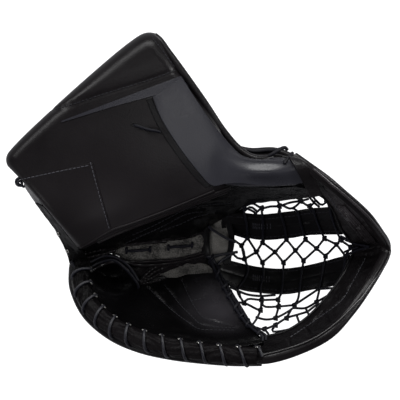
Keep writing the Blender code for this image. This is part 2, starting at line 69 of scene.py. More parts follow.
# The camera looks straight down, with one pixel this wide at the height of the cuff.
PIXEL = 1.07
EYE_PLANE = 150.0
EYE_HEIGHT = 2380.0
PICTURE = 400
SENSOR_WIDTH = 36.0
# A line of sight that misses every piece ends at this height, in metres.
MISSED_HEIGHT = 0.13

# The main lines and sections of the padding, the palm and the rims.
CUFF_SECTIONS = (
    ((-217, 51, 136), (-136, 124, 141), (-55, 192, 136)),
    ((-175, -1, 140), (-89, 63, 150), (-6, 126, 144)),
    ((-150, -33, 126), (-63, 16, 153), (33, 80, 147)),
    ((-134, -54, 108), (-95, -35, 131), (-42, -14, 147), (1, 2, 152), (32, 14, 154)),
)
CUFF_DEPTH = 23.0
THUMB_DEPTH = 16.0
THUMB_SECTIONS = (
    ((-2, 88, 142), (4, 46, 149.5), (6, 12, 149)),
    ((24, 70, 147), (25, 42, 154.5), (26, 14, 155.5)),
    ((44, 52, 148), (46, 31, 159), (46, 14, 152)),
    ((62, 48, 149), (63, 29, 161), (64, 14, 151)),
    ((80, 48, 149), (81, 29, 160), (82, 14, 149)),
    ((99, 46, 145), (107, 29, 151), (110, 16, 142)),
)
ROLL = (
    (-131, -64, 80), (-133, -78, 90), (-131, -97, 104), (-118, -121, 119), (-93, -141, 134),
    (-64, -153, 146), (-32, -160, 152), (1, -164, 155), (35, -166.5, 156), (66, -166.5, 155),
)  # fmt: skip
PALM_TOP = ((-120, -70, 72), (-84, -70, 60), (-55, -70, 56), (-22, -68, 54), (11, -62, 53))
PALM_RIM = (
    (-126, -82, 96), (-114, -108, 112), (-90, -130, 129), (-53, -146, 143), (-8, -153, 149),
    (34, -157, 150), (68, -152, 148),
)  # fmt: skip
RIM_EDGE = (
    (50, -170, 150), (72, -171, 155), (103, -162, 156), (138.5, -145, 150), (163, -119.5, 139),
    (185.5, -90, 122), (200, -68, 102), (204, -60, 94), (205, -53.5, 92), (204, -47, 95), (199, -39, 105),
    (181.5, -17.5, 131), (155, 6, 148), (136, 22, 155), (116, 36, 158), (101, 47, 152),
)  # fmt: skip
RIM_SEAM = (
    (52, -160, 120), (73, -155, 113), (98, -147, 112), (124, -134, 109), (150, -106.5, 100), (168, -82, 91),
    (182, -65.5, 80), (185, -60, 77), (186, -53.5, 75.5), (184, -47, 78), (179, -43, 82), (166, -28, 94),
    (152, -11, 104), (139, 2, 111), (122, 17, 122), (108, 26, 126),
)  # fmt: skip
RIM_INNER = (
    (58, -151, 106), (80, -147.5, 99), (97, -142, 98), (118.5, -127.5, 95), (141, -104, 89), (157, -82, 80),
    (167, -65, 67), (169, -60, 64), (170, -53.5, 63), (169, -47, 66), (166, -44, 69), (156, -32, 79),
    (148, -14, 90), (138, 0, 99), (122, 14, 111), (106, 20, 114),
)  # fmt: skip
ROLL_WIDE, ROLL_TALL = 9.6, 8.4
LACE_TURNS = 13
POINTS_A_TURN = 24

# The bowl of the pocket: its lowest place, its rise on each side, and how far off that rise is reached.
BOWL_X, BOWL_Y, BOWL_FLOOR = 95.0, -56.0, 24.0
RISE_TIP, RISE_HEEL, RISE_THUMB, RISE_FINGERS = 42.0, 20.0, 44.0, 68.0
REACH_ALONG, REACH_THUMB, REACH_FINGERS = 75.0, 55.0, 90.0
STEEPNESS = 1.7

# Sewn-on panels: the eased share of their edge, and how a panel that bridges a dip is evened out.
PANEL_EASE = 0.4
BRIDGE_LIFT = 0.4
BRIDGE_ROUNDS = 600
LAST_ROUNDS = 6

# The cloth simulation of the cushions.
VOXEL = 0.005
PRESSURE = 4.0
STIFFNESS = 25.0
CLOTH_FRAMES = 20


class GloveSizes(bpy.types.PropertyGroup):
    """Sizes of the lacing, sewing and edges."""

    lace: FloatProperty(name="Lace", description="Radius of the rim lace", default=0.0016, unit="LENGTH")
    net_lace: FloatProperty(
        name="Net lace", description="Radius of the net's lace", default=0.00135, unit="LENGTH"
    )
    thread: FloatProperty(
        name="Thread", description="Radius of sewing thread", default=0.0005, unit="LENGTH"
    )
    stitch: FloatProperty(name="Stitch", description="Length of one stitch", default=0.0032, unit="LENGTH")
    stitch_gap: FloatProperty(name="Gap", description="Gap between stitches", default=0.0014, unit="LENGTH")
    binding: FloatProperty(
        name="Binding", description="Radius of the bound rim", default=0.0042, unit="LENGTH"
    )


class GloveColours(bpy.types.PropertyGroup):
    """Colours of the finishes."""

    black: FloatVectorProperty(
        name="Black leather", description="Grained leather", subtype="COLOR",
        default=(0.0050, 0.0043, 0.0048),
    )  # fmt: skip
    smooth: FloatVectorProperty(
        name="Smooth leather", description="Supple leather", subtype="COLOR",
        default=(0.0030, 0.0028, 0.0032),
    )  # fmt: skip
    grey: FloatVectorProperty(
        name="Grey leather", description="Grey panels", subtype="COLOR", default=(0.0140, 0.0139, 0.0176)
    )
    felt: FloatVectorProperty(
        name="Felt", description="Felt of the break and base", subtype="COLOR",
        default=(0.092, 0.088, 0.083),
    )  # fmt: skip
    lace: FloatVectorProperty(
        name="Lace", description="Waxed lace", subtype="COLOR", default=(0.0052, 0.0052, 0.0080)
    )
    cloth: FloatVectorProperty(
        name="Lining", description="Lining cloth", subtype="COLOR", default=(0.018, 0.018, 0.020)
    )
    metal: FloatVectorProperty(
        name="Nickel", description="Eyelets", subtype="COLOR", default=(0.62, 0.61, 0.58)
    )


def sizes():
    """The glove's sizes in this scene."""
    return bpy.context.scene.glove_sizes


def curve(points, t):
    """Places at t, 0 to 1, on the smooth curve through the points, or through a line of points for each t."""
    points = np.asarray(points, float)
    t = np.asarray(t, float)
    padded = np.concatenate((2 * points[:1] - points[1:2], points, 2 * points[-1:] - points[-2:-1]))
    along = np.clip(t, 0, 1) * (len(points) - 1)
    start = np.minimum(along.astype(int), len(points) - 2)
    f = (along - start)[:, None]
    if points.ndim == 2:
        a, b, c, d = (padded[start + k] for k in range(4))
    else:
        a, b, c, d = (padded[start + k, np.arange(len(t))] for k in range(4))
    return 0.5 * (2 * b + (c - a) * f + (2 * a - 5 * b + 4 * c - d) * f**2 + (3 * b - a - 3 * c + d) * f**3)


def route(points, count):
    """Evenly spaced places on the smooth curve through the points."""
    fine = curve(points, np.linspace(0, 1, 40 * len(points)))
    lengths = np.concatenate(((0,), np.cumsum(np.linalg.norm(np.diff(fine, axis=0), axis=1))))
    stops = np.linspace(0, lengths[-1], count)
    return np.column_stack([np.interp(stops, lengths, fine[:, axis]) for axis in range(fine.shape[1])])


def length_of(points):
    """Length of the line through points."""
    return np.linalg.norm(np.diff(points, axis=0), axis=1).sum()


def loft(*sections):
    """The surface through section curves: u runs along each, v from the first to the last."""

    def surface(u, v):
        return curve(np.array([curve(section, u) for section in sections]), v)

    return surface


def seen(*sections):
    """The surface through section curves that are given as the camera sees them."""
    return loft(*(at(section) for section in sections))


def shifted(line, right, down):
    """A line of the camera's picture, moved by columns and rows."""
    return [(x + right, y + down) for x, y in line]


def tangents(surface, u, v):
    """Unit directions of a surface along u and along v."""
    step = 0.004
    low_u, high_u = np.clip(u - step, 0, 1), np.clip(u + step, 0, 1)
    low_v, high_v = np.clip(v - step, 0, 1), np.clip(v + step, 0, 1)
    return unit(surface(high_u, v) - surface(low_u, v)), unit(surface(u, high_v) - surface(u, low_v))


def unit(vectors):
    """The vectors, each at length 1."""
    return vectors / np.maximum(np.linalg.norm(vectors, axis=1), 1e-9)[:, None]


def at(places):
    """Places in the glove's frame of (column, row, height) rows of the camera's picture."""
    places = np.asarray(places, float)
    scale = PIXEL * (1 + (EYE_PLANE - places[:, 2]) / EYE_HEIGHT)
    middle = (PICTURE - 1) / 2
    return np.column_stack(
        ((places[:, 0] - middle) * scale, (PICTURE / 2 - places[:, 1]) * scale, places[:, 2])
    )


def pictured(points):
    """Columns and rows of the camera's picture where the camera sees the points."""
    scale = PIXEL * (1 + (EYE_PLANE - points[:, 2]) / EYE_HEIGHT)
    return np.column_stack(((PICTURE - 1) / 2 + points[:, 0] / scale, PICTURE / 2 - points[:, 1] / scale))


def bowl_height(x, y):
    """Height of the bowl that the net and the webs hang in."""
    forward, aside = x - BOWL_X, y - BOWL_Y
    along = np.where(forward > 0, RISE_TIP, RISE_HEEL) * (forward / REACH_ALONG) ** 2
    to_thumb = RISE_THUMB * (np.maximum(aside, 0) / REACH_THUMB) ** STEEPNESS
    to_fingers = RISE_FINGERS * (np.maximum(-aside, 0) / REACH_FINGERS) ** STEEPNESS
    return BOWL_FLOOR + along + np.where(aside > 0, to_thumb, to_fingers)


def in_bowl(pixels, lift=0.0):
    """Places on the bowl of the pocket under columns and rows of the camera's picture."""
    pixels = np.asarray(pixels, float)
    height = np.full(len(pixels), 50.0)
    for _ in range(4):
        place = at(np.column_stack((pixels, height)))
        height = bowl_height(place[:, 0], place[:, 1]) + lift
    return at(np.column_stack((pixels, height)))


def drape(pixels, pieces, lift=0.0):
    """Places on the pieces under columns and rows of the camera's picture, and the normals there."""
    pixels = np.asarray(pixels, float)
    eye = Vector((0, 0, (EYE_PLANE + EYE_HEIGHT) * MM))
    graph = bpy.context.evaluated_depsgraph_get()
    trees = [BVHTree.FromObject(piece, graph) for piece in pieces]
    places, normals = [], []
    for target in at(np.column_stack((pixels, np.zeros(len(pixels))))) * MM:
        ray = (Vector(target) - eye).normalized()
        hits = [hit for hit in (tree.ray_cast(eye, ray) for tree in trees) if hit[0] is not None]
        if not hits:
            level = eye + ray * ((eye.z - MISSED_HEIGHT) / -ray.z)
            hits = [tree.find_nearest(level) for tree in trees]
        spot, facing, _, _ = min(hits, key=lambda hit: hit[3])
        facing = facing if facing.z > 0 else -facing
        places.append(np.array(spot) / MM + lift * np.array(facing))
        normals.append(np.array(facing))
    return np.array(places), np.array(normals)


def only(piece):
    """Selects one piece and makes it the active one."""
    bpy.ops.object.select_all(action="DESELECT")
    piece.select_set(True)
    bpy.context.view_layer.objects.active = piece


def edit(piece, *steps):
    """Runs edit-mode operators on the whole of a piece."""
    only(piece)
    bpy.ops.object.mode_set(mode="EDIT")
    bpy.ops.mesh.select_all(action="SELECT")
    for step in steps:
        step()
    bpy.ops.object.mode_set(mode="OBJECT")


def merge():
    """Merges points that lie on one another, in edit mode."""
    bpy.ops.mesh.remove_doubles(threshold=1e-5)


def outward():
    """Turns all faces outward, in edit mode."""
    bpy.ops.mesh.normals_make_consistent(inside=False)


def close_ends():
    """Fills the open ends of a tube, in edit mode."""
    bpy.ops.mesh.select_all(action="DESELECT")
    bpy.ops.mesh.select_non_manifold()
    bpy.ops.mesh.fill_holes(sides=0)


def apply(piece, kind, **settings):
    """Adds a modifier and applies it."""
    only(piece)
    modifier = piece.modifiers.new(kind.title(), kind)
    for key, value in settings.items():
        setattr(modifier, key, value)
    bpy.ops.object.modifier_apply(modifier=modifier.name)


def grid(name, columns, rows):
    """A new flat grid, and the u and v of its points."""
    bpy.ops.object.select_all(action="DESELECT")
    bpy.ops.mesh.primitive_grid_add(x_subdivisions=columns, y_subdivisions=rows, size=1, location=(0, 0, 0))
    piece = bpy.context.object
    piece.name = name
    piece.data.name = name
    places = points_of(piece) * MM
    return piece, places[:, 0] + 0.5, places[:, 1] + 0.5


def points_of(piece):
    """A piece's points, in millimetres."""
    places = np.empty(len(piece.data.vertices) * 3)
    piece.data.vertices.foreach_get("co", places)
    return places.reshape(-1, 3) / MM


def normals_of(piece):
    """Directions square to a piece at its points."""
    found = np.empty(len(piece.data.vertices) * 3)
    piece.data.vertices.foreach_get("normal", found)
    return found.reshape(-1, 3)


def set_points(piece, places):
    """Moves a piece's points to places in millimetres."""
    piece.data.vertices.foreach_set("co", (np.asarray(places) * MM).ravel())
    piece.data.update()


def face_toward(piece, toward):
    """Turns the faces of an open piece to the side that a direction points to."""
    lean = sum(polygon.area * polygon.normal.dot(Vector(toward)) for polygon in piece.data.polygons)
    if lean < 0:
        edit(piece, bpy.ops.mesh.flip_normals)


def to_lines(pixels, lines):
    """Least distance in pixels from each place of the picture to the smooth lines."""
    best = np.full(len(pixels), 1e9)
    for line in lines:
        stops = route(np.asarray(line, float), 60)
        for first, last in zip(stops, stops[1:]):
            span = last - first
            t = np.clip(((pixels - first) @ span) / max(span @ span, 1e-9), 0, 1)
            best = np.minimum(best, np.linalg.norm(pixels - first - t[:, None] * span, axis=1))
    return best


def press(piece, lines, depth, width):
    """Presses seams into a piece along lines of the camera's picture, or raises folds by a negative depth."""
    places = points_of(piece)
    away = to_lines(pictured(places), lines)
    set_points(piece, places - (depth * np.exp(-((away / width) ** 2)))[:, None] * normals_of(piece))


def crumple(piece, size, depth, seed=0.0):
    """Uneven folds over a piece, from a cloud pattern of one size."""
    clouds = bpy.data.textures.new(f"{piece.name}_folds", "CLOUDS")
    clouds.noise_scale = size * MM
    clouds.noise_depth = 2
    set_points(piece, points_of(piece) + seed)
    apply(piece, "DISPLACE", texture=clouds, strength=depth * MM, mid_level=0.5, texture_coords="LOCAL")
    set_points(piece, points_of(piece) - seed)


def smooth(piece, angle=40):
    """Shades a piece smooth, apart from edges sharper than an angle in degrees."""
    only(piece)
    bpy.ops.object.shade_smooth_by_angle(angle=math.radians(angle))


def thicken(piece, thickness, edge=0.35):
    """Gives an open piece its thickness behind its faces, with eased edges."""
    apply(piece, "SOLIDIFY", thickness=thickness * MM, offset=-1.0)
    if edge:
        apply(
            piece, "BEVEL", width=edge * thickness * MM, segments=2, limit_method="ANGLE",
            angle_limit=math.radians(55),
        )  # fmt: skip


def sheet(name, surface, cells, thickness, fold, finish, body, *nodes, toward=UP):
    """A dressed leather or felt sheet on a surface: fold is the size, depth and seed of its creases."""
    piece, u, v = grid(name, *cells)
    set_points(piece, surface(u, v))
    face_toward(piece, toward)
    crumple(piece, *fold)
    thicken(piece, thickness)
    smooth(piece)
    return dress(piece, finish, body, *nodes)


def between(name, left, right, columns, rows):
    """A new grid, and its places in the camera's picture between a left and a right edge."""
    piece, u, v = grid(name, columns, rows)
    first, last = curve(left, 1 - v), curve(right, 1 - v)
    return piece, first + u[:, None] * (last - first)


def sew_on(piece, places, thickness):
    """Lays a panel at its places, face up, and gives it its thickness."""
    set_points(piece, places)
    face_toward(piece, UP)
    thicken(piece, thickness, PANEL_EASE)
    smooth(piece)
    return piece


def patch(name, left, right, columns, rows, onto, lift, thickness):
    """A panel sewn on to other pieces, between a left and a right edge in the camera's picture."""
    piece, pixels = between(name, left, right, columns, rows)
    return sew_on(piece, drape(pixels, onto, lift)[0], thickness)


def evened(level):
    """Heights on a grid, each made the mean of its four neighbours."""
    inside = np.pad(level, 1, mode="edge")
    return 0.25 * (inside[:-2, 1:-1] + inside[2:, 1:-1] + inside[1:-1, :-2] + inside[1:-1, 2:])


def blanket(name, left, right, columns, rows, onto, lift, thickness):
    """A panel like a patch that bridges the dips between the pieces under it."""
    piece, pixels = between(name, left, right, columns, rows)
    under = drape(pixels, onto, lift)[0][:, 2].reshape(rows + 1, columns + 1)
    level = under
    for _ in range(BRIDGE_ROUNDS):
        level = np.maximum(evened(level), under)
    for _ in range(LAST_ROUNDS):
        level = evened(level)
    return sew_on(piece, at(np.column_stack((pixels, level.ravel() + BRIDGE_LIFT))), thickness)


def pad(name, surface, cells, rings, radius, depth):
    """The cover of a cushion: a face, a rounded shoulder and side walls, open below."""
    columns, rows = cells
    shoulder = rings - 3
    piece, u, v = grid(name, columns + 2 * rings, rows + 2 * rings)
    a = (u * (columns + 2 * rings) - rings) / columns
    b = (v * (rows + 2 * rings) - rings) / rows
    on_a, on_b = np.clip(a, 0, 1), np.clip(b, 0, 1)
    over_a, over_b = (a - on_a) * columns, (b - on_b) * rows
    step = np.maximum(np.abs(over_a), np.abs(over_b))
    along, aside = tangents(surface, on_a, on_b)
    square_a = unit(along - (along * aside).sum(axis=1)[:, None] * aside)
    square_b = unit(aside - (along * aside).sum(axis=1)[:, None] * along)
    heading = unit(over_a[:, None] * square_a + over_b[:, None] * square_b)
    turn = np.minimum(step / shoulder, 1) * math.pi / 2
    round_off = radius(on_a, on_b)
    wall = np.maximum(step - shoulder, 0) / (rings - shoulder)
    down = round_off * (1 - np.cos(turn)) + (depth - round_off) * wall
    out = (round_off * np.sin(turn))[:, None] * heading
    set_points(piece, surface(on_a, on_b) + out + down[:, None] * DOWN)
    edit(piece, merge)
    face_toward(piece, UP)
    return piece


def inset(surface, low_u, high_u, low_v, high_v, corner=0.0):
    """The part of a surface between limits, with its first two corners drawn in."""

    def inner(u, v):
        x, y = 2 * u - 1, 2 * v - 1
        pull = 1 - np.where(y < 0, corner, 0) * (x * y) ** 6
        u, v = 0.5 + 0.5 * x * pull, 0.5 + 0.5 * y * pull
        return surface(low_u + u * (high_u - low_u), low_v + v * (high_v - low_v))

    return inner


def tubes(name, paths, radius, sides=2, closed=False):
    """Round cords along paths, as one piece."""
    line = bpy.data.curves.new(name, "CURVE")
    line.dimensions = "3D"
    line.bevel_depth = radius
    line.bevel_resolution = sides
    line.use_fill_caps = not closed
    for path in paths:
        spline = line.splines.new("POLY")
        spline.points.add(len(path) - 1)
        spline.points.foreach_set(
            "co", np.column_stack((np.asarray(path) * MM, np.ones(len(path)))).ravel()
        )
        spline.use_cyclic_u = closed
    piece = bpy.data.objects.new(name, line)
    bpy.context.collection.objects.link(piece)
    only(piece)
    bpy.ops.object.convert(target="MESH")
    edit(piece, merge, outward)
    smooth(piece, 60)
    return piece


def stitches(name, lines, onto):
    """Rows of sewn stitches along lines of the camera's picture, lying on other pieces."""
    size = sizes()
    step = (size.stitch + size.stitch_gap) / MM
    runs = []
    for line in lines:
        line = np.asarray(line, float)
        fine, facing = drape(route(line, max(int(length_of(line) * 1.5), 8)), onto)
        stops = np.concatenate(((0,), np.cumsum(np.linalg.norm(np.diff(fine, axis=0), axis=1))))
        for start in np.arange(0, stops[-1] - step, step):
            t = start + np.array((0, 0.25, 0.75, 1.0)) * size.stitch / MM
            place = np.column_stack([np.interp(t, stops, fine[:, k]) for k in range(3)])
            away = np.column_stack([np.interp(t, stops, facing[:, k]) for k in range(3)])
            runs.append(place + np.array((-0.35, 0.25, 0.25, -0.35))[:, None] * away)
    return tubes(name, runs, size.thread, 1)


def ring(name, place, facing, radius, wire):
    """One metal eyelet at a place, square to a direction."""
    bpy.ops.object.select_all(action="DESELECT")
    turn = Vector(facing).to_track_quat("Z", "Y").to_euler()
    bpy.ops.mesh.primitive_torus_add(
        major_radius=radius * MM, minor_radius=wire * MM, major_segments=20, minor_segments=8,
        location=Vector(place) * MM, rotation=turn,
    )  # fmt: skip
    piece = bpy.context.object
    piece.name = name
    bpy.ops.object.transform_apply()
    bpy.ops.object.shade_smooth()
    return piece


def join(name, pieces):
    """Joins pieces to one, under a name."""
    bpy.ops.object.select_all(action="DESELECT")
    for piece in pieces:
        piece.select_set(True)
    bpy.context.view_layer.objects.active = pieces[0]
    bpy.ops.object.join()
    pieces[0].name = name
    return pieces[0]


def eyelets(name, spots, facing, lift, radius, wire, finish, body):
    """Rings set into other pieces, dressed as one piece."""
    rings = [
        ring(f"{name}_{number}", spot + lift * away, away, radius, wire)
        for number, (spot, away) in enumerate(zip(spots, facing))
    ]
    return dress(join(name, rings), finish, body)


def laces(name, runs, count, radius, finish, body, *nodes):
    """Laces along runs that are given as the camera sees them, dressed as one piece."""
    return dress(tubes(name, [route(at(run), count) for run in runs], radius, 3), finish, body, *nodes)


def copy_of(node, name):
    """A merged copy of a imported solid, as a new piece."""
    piece = bpy.data.objects.new(name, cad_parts[node].data.copy())
    bpy.context.collection.objects.link(piece)
    edit(piece, merge)
    return piece


def stuffed(name, node, cap, floor=None):
    """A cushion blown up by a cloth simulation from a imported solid."""
    piece = copy_of(node, name)
    apply(piece, "REMESH", mode="VOXEL", voxel_size=VOXEL, use_smooth_shade=True)
    start = points_of(piece)
    cloth = piece.modifiers.new("Cloth", "CLOTH")
    cloth.settings.use_pressure = True
    cloth.settings.uniform_pressure_force = PRESSURE
    cloth.settings.effector_weights.gravity = 0.0
    cloth.settings.tension_stiffness = STIFFNESS
    cloth.settings.compression_stiffness = STIFFNESS
    scene = bpy.context.scene
    for number in range(1, CLOTH_FRAMES + 1):
        scene.frame_set(number)
    blown = piece.evaluated_get(bpy.context.evaluated_depsgraph_get())
    ended = np.empty(len(start) * 3)
    blown.data.vertices.foreach_get("co", ended)
    moved = ended.reshape(-1, 3) / MM - start
    far = np.linalg.norm(moved, axis=1)
    moved *= (np.minimum(far, cap) / np.maximum(far, 1e-9))[:, None]
    piece.modifiers.remove(cloth)
    scene.frame_set(1)
    set_points(piece, start + moved)
    apply(piece, "SMOOTH", factor=0.5, iterations=4)
    apply(piece, "SUBSURF", levels=1, render_levels=1)
    if floor is not None:
        places = points_of(piece)
        places[:, 2] = np.maximum(places[:, 2], floor)
        set_points(piece, places)
    smooth(piece, 80)
    return piece


def channels(piece, stops, depth, width):
    """Presses quilting channels into a cushion, square to the X axis."""
    places = points_of(piece)
    away = np.abs(places[:, :1] - np.array(stops, float)).min(axis=1)
    set_points(piece, places - (depth * np.exp(-((away / width) ** 2)))[:, None] * normals_of(piece))


def softened(name, node, levels=2, size=14.0, depth=0.0):
    """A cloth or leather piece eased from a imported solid."""
    piece = copy_of(node, name)
    apply(piece, "BEVEL", width=0.0006, segments=2, limit_method="ANGLE", angle_limit=math.radians(50))
    apply(piece, "SUBSURF", levels=levels, render_levels=levels)
    if depth:
        crumple(piece, size, depth)
    smooth(piece, 60)
    return piece


def dress(piece, finish, body, *nodes):
    """Gives a piece its finish, hangs it on its body or bakes its place in when the body is the fold, and
    hides the solids it stands for.
    """
    piece.data.materials.clear()
    piece.data.materials.append(bpy.data.materials[finish])
    if body == "fold":
        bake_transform(piece)
    else:
        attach(piece, body)
    if nodes:
        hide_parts(*nodes)
    return piece


def add_node(tree, kind, inputs=(), **settings):
    """A shader node with its settings, and its inputs set or linked by name or number."""
    made = tree.nodes.new(kind)
    for key, value in settings.items():
        setattr(made, key, value)
    for key, value in dict(inputs).items():
        if isinstance(value, bpy.types.NodeSocket):
            tree.links.new(value, made.inputs[key])
        else:
            made.inputs[key].default_value = value
    return made


def new_group(name, inputs, outputs):
    """An empty shader node group with number sockets."""
    tree = bpy.data.node_groups.new(name, "ShaderNodeTree")
    for label, default in inputs:
        socket = tree.interface.new_socket(label, in_out="INPUT", socket_type="NodeSocketFloat")
        socket.default_value = default
    for label in outputs:
        tree.interface.new_socket(label, in_out="OUTPUT", socket_type="NodeSocketFloat")
    return tree, tree.nodes.new("NodeGroupInput").outputs, tree.nodes.new("NodeGroupOutput").inputs


def make_hide_group():
    """Pebbled grain, fine creases and patchy tone of leather."""
    tree, given, put = new_group("hide", (("Grain", 700.0), ("Crease", 0.3)), ("Height", "Tone"))
    place = add_node(tree, "ShaderNodeTexCoord").outputs["Object"]
    pebble = add_node(
        tree, "ShaderNodeTexVoronoi", {"Vector": place, "Scale": given["Grain"]}, feature="SMOOTH_F1"
    )
    fold = add_node(
        tree, "ShaderNodeTexNoise", {"Vector": place, "Scale": 130.0, "Detail": 6.0, "Distortion": 1.2}
    )
    patchy = add_node(
        tree, "ShaderNodeTexNoise", {"Vector": place, "Scale": 22.0, "Detail": 5.0, "Roughness": 0.65}
    )
    creased = add_node(
        tree, "ShaderNodeMath", {0: fold.outputs["Fac"], 1: given["Crease"]}, operation="MULTIPLY"
    )
    pebbled = add_node(
        tree, "ShaderNodeMath", {0: pebble.outputs["Distance"], 1: 0.5}, operation="MULTIPLY"
    )
    height = add_node(
        tree, "ShaderNodeMath", {0: creased.outputs[0], 1: pebbled.outputs[0]}, operation="ADD"
    )
    tone = add_node(tree, "ShaderNodeMapRange", {0: patchy.outputs["Fac"], 1: 0.3, 2: 0.7, 3: 0.0, 4: 1.0})
    tree.links.new(height.outputs[0], put["Height"])
    tree.links.new(tone.outputs[0], put["Tone"])


def make_nap_group():
    """Short fibres and uneven tone of felt, foam and brushed cloth."""
    tree, given, put = new_group("nap", (("Fibre", 900.0),), ("Height", "Tone"))
    place = add_node(tree, "ShaderNodeTexCoord").outputs["Object"]
    fibre = add_node(tree, "ShaderNodeTexNoise", {"Vector": place, "Scale": given["Fibre"], "Detail": 4.0})
    cloud = add_node(
        tree, "ShaderNodeTexNoise", {"Vector": place, "Scale": 70.0, "Detail": 6.0, "Roughness": 0.7}
    )
    both = add_node(
        tree, "ShaderNodeMath", {0: fibre.outputs["Fac"], 1: cloud.outputs["Fac"]}, operation="ADD"
    )
    tone = add_node(tree, "ShaderNodeMapRange", {0: both.outputs[0], 1: 0.84, 2: 1.16, 3: 0.0, 4: 1.0})
    tree.links.new(both.outputs[0], put["Height"])
    tree.links.new(tone.outputs[0], put["Tone"])


def make_weave_group():
    """Crossed threads of webbing and of braided lace."""
    tree, given, put = new_group("weave", (("Threads", 600.0),), ("Height", "Tone"))
    place = add_node(tree, "ShaderNodeTexCoord").outputs["Object"]
    turned = add_node(
        tree, "ShaderNodeMapping", {"Vector": place, "Rotation": (0.3, 0.2, math.radians(42))}
    )
    bands = []
    for direction in ("X", "Y"):
        band = add_node(
            tree, "ShaderNodeTexWave",
            {"Vector": turned.outputs[0], "Scale": given["Threads"], "Distortion": 0.6},
            bands_direction=direction,
        )  # fmt: skip
        bands.append(band.outputs["Fac"])
    both = add_node(tree, "ShaderNodeMath", {0: bands[0], 1: bands[1]}, operation="MAXIMUM")
    cloud = add_node(tree, "ShaderNodeTexNoise", {"Vector": place, "Scale": 60.0, "Detail": 4.0})
    tree.links.new(both.outputs[0], put["Height"])
    tree.links.new(cloud.outputs["Fac"], put["Tone"])


def shade(colour, share):
    """A colour made darker or lighter by a share, as a socket takes it."""
    return (*(part * share for part in colour), 1.0)


def mix(tree, share, first, second):
    """The socket of a mix of two colours, either of which can be a socket itself."""
    return add_node(tree, "ShaderNodeMix", {0: share, 6: first, 7: second}, data_type="RGBA").outputs[2]


class Finish(NamedTuple):
    """A finish: its pattern group, its colour, and how far tone, roughness and relief follow the pattern."""

    pattern: str
    values: dict
    colour: str
    tones: tuple
    rough: tuple
    bump: tuple
    # Painted light and shade: a place, a reach and a share by which the colour is made paler round that place
    # as a painted highlight, or darker as painted shade.
    worn: tuple = ()
    shine: float = 0.5
    metal: float = 0.0


FINISHES = {
    # Painted light: the black leather is paler round the lower part of the cuff, above the hem.
    "leather_black": Finish(
        "hide", {"Grain": 620.0, "Crease": 0.25}, "black", (0.8, 1.25), (0.28, 0.36), (0.25, 0.0006),
        ((-0.095, -0.010, 0.140), 0.110, 1.75), 0.16,
    ),
    "leather_smooth": Finish(
        "hide", {"Grain": 1100.0, "Crease": 0.5}, "smooth", (0.75, 1.4), (0.26, 0.40), (0.22, 0.0006),
        shine=0.16,
    ),
    # Painted shade: the creased leather is darker round the heel end of the roll, where the cuff shades it.
    "leather_creased": Finish(
        "hide", {"Grain": 900.0, "Crease": 1.6}, "black", (0.45, 1.0), (0.30, 0.46), (0.5, 0.0014),
        ((-0.132, -0.085, 0.095), 0.075, 0.2), 0.05,
    ),
    # Painted highlight: the palm leather is paler round the lower right of the palm.
    "leather_palm": Finish(
        "hide", {"Grain": 900.0, "Crease": 0.9}, "smooth", (0.3, 0.6), (0.20, 0.30), (0.3, 0.0010),
        ((0.028, -0.114, 0.090), 0.066, 7.0), 0.15,
    ),
    # Painted light: the rim leather is paler round the rim on the thumb side.
    "leather_rim": Finish(
        "hide", {"Grain": 900.0, "Crease": 1.2}, "black", (0.45, 1.0), (0.24, 0.36), (0.4, 0.0012),
        ((0.160, 0.004, 0.130), 0.075, 2.4), 0.2,
    ),
    "leather_bound": Finish(
        "hide", {"Grain": 900.0, "Crease": 0.8}, "black", (0.8, 1.3), (0.24, 0.36), (0.3, 0.0008),
        shine=0.2,
    ),
    # Painted highlight: the welt and the tip pleats are paler round the rim on the thumb side.
    "leather_welt": Finish(
        "hide", {"Grain": 900.0, "Crease": 0.8}, "black", (0.8, 1.4), (0.2, 0.32), (0.3, 0.0008),
        ((0.155, 0.010, 0.140), 0.100, 5.0),
    ),
    "leather_grey": Finish(
        "hide", {"Grain": 620.0, "Crease": 0.2}, "grey", (0.9, 1.12), (0.25, 0.32), (0.2, 0.0005),
        shine=0.34,
    ),
    "felt_grey": Finish("nap", {"Fibre": 1300.0}, "felt", (0.7, 1.4), (0.9, 1.0), (0.6, 0.0010)),
    "felt_worn": Finish("nap", {"Fibre": 900.0}, "felt", (0.12, 0.95), (0.8, 1.0), (1.0, 0.0020)),
    "lace_waxed": Finish("weave", {"Threads": 260.0}, "lace", (0.8, 1.5), (0.42, 0.6), (0.3, 0.0004)),
    "lace_net": Finish(
        "weave", {"Threads": 260.0}, "lace", (0.5, 1.1), (0.42, 0.6), (0.3, 0.0004), shine=0.18
    ),
    "thread_black": Finish(
        "nap", {"Fibre": 2000.0}, "grey", (0.4, 0.9), (0.5, 0.7), (0.2, 0.0002), shine=0.2
    ),
    "thread_dark": Finish("nap", {"Fibre": 2000.0}, "grey", (1.2, 1.9), (0.5, 0.7), (0.2, 0.0002)),
    "cloth_lining": Finish("nap", {"Fibre": 700.0}, "cloth", (0.7, 1.4), (0.85, 0.98), (0.5, 0.0008)),
    "webbing": Finish("weave", {"Threads": 130.0}, "cloth", (0.7, 1.2), (0.7, 0.9), (0.6, 0.0008)),
    "nickel_plate": Finish(
        "nap", {"Fibre": 300.0}, "metal", (0.9, 1.05), (0.30, 0.42), (0.05, 0.0002), metal=1.0
    ),
}  # fmt: skip


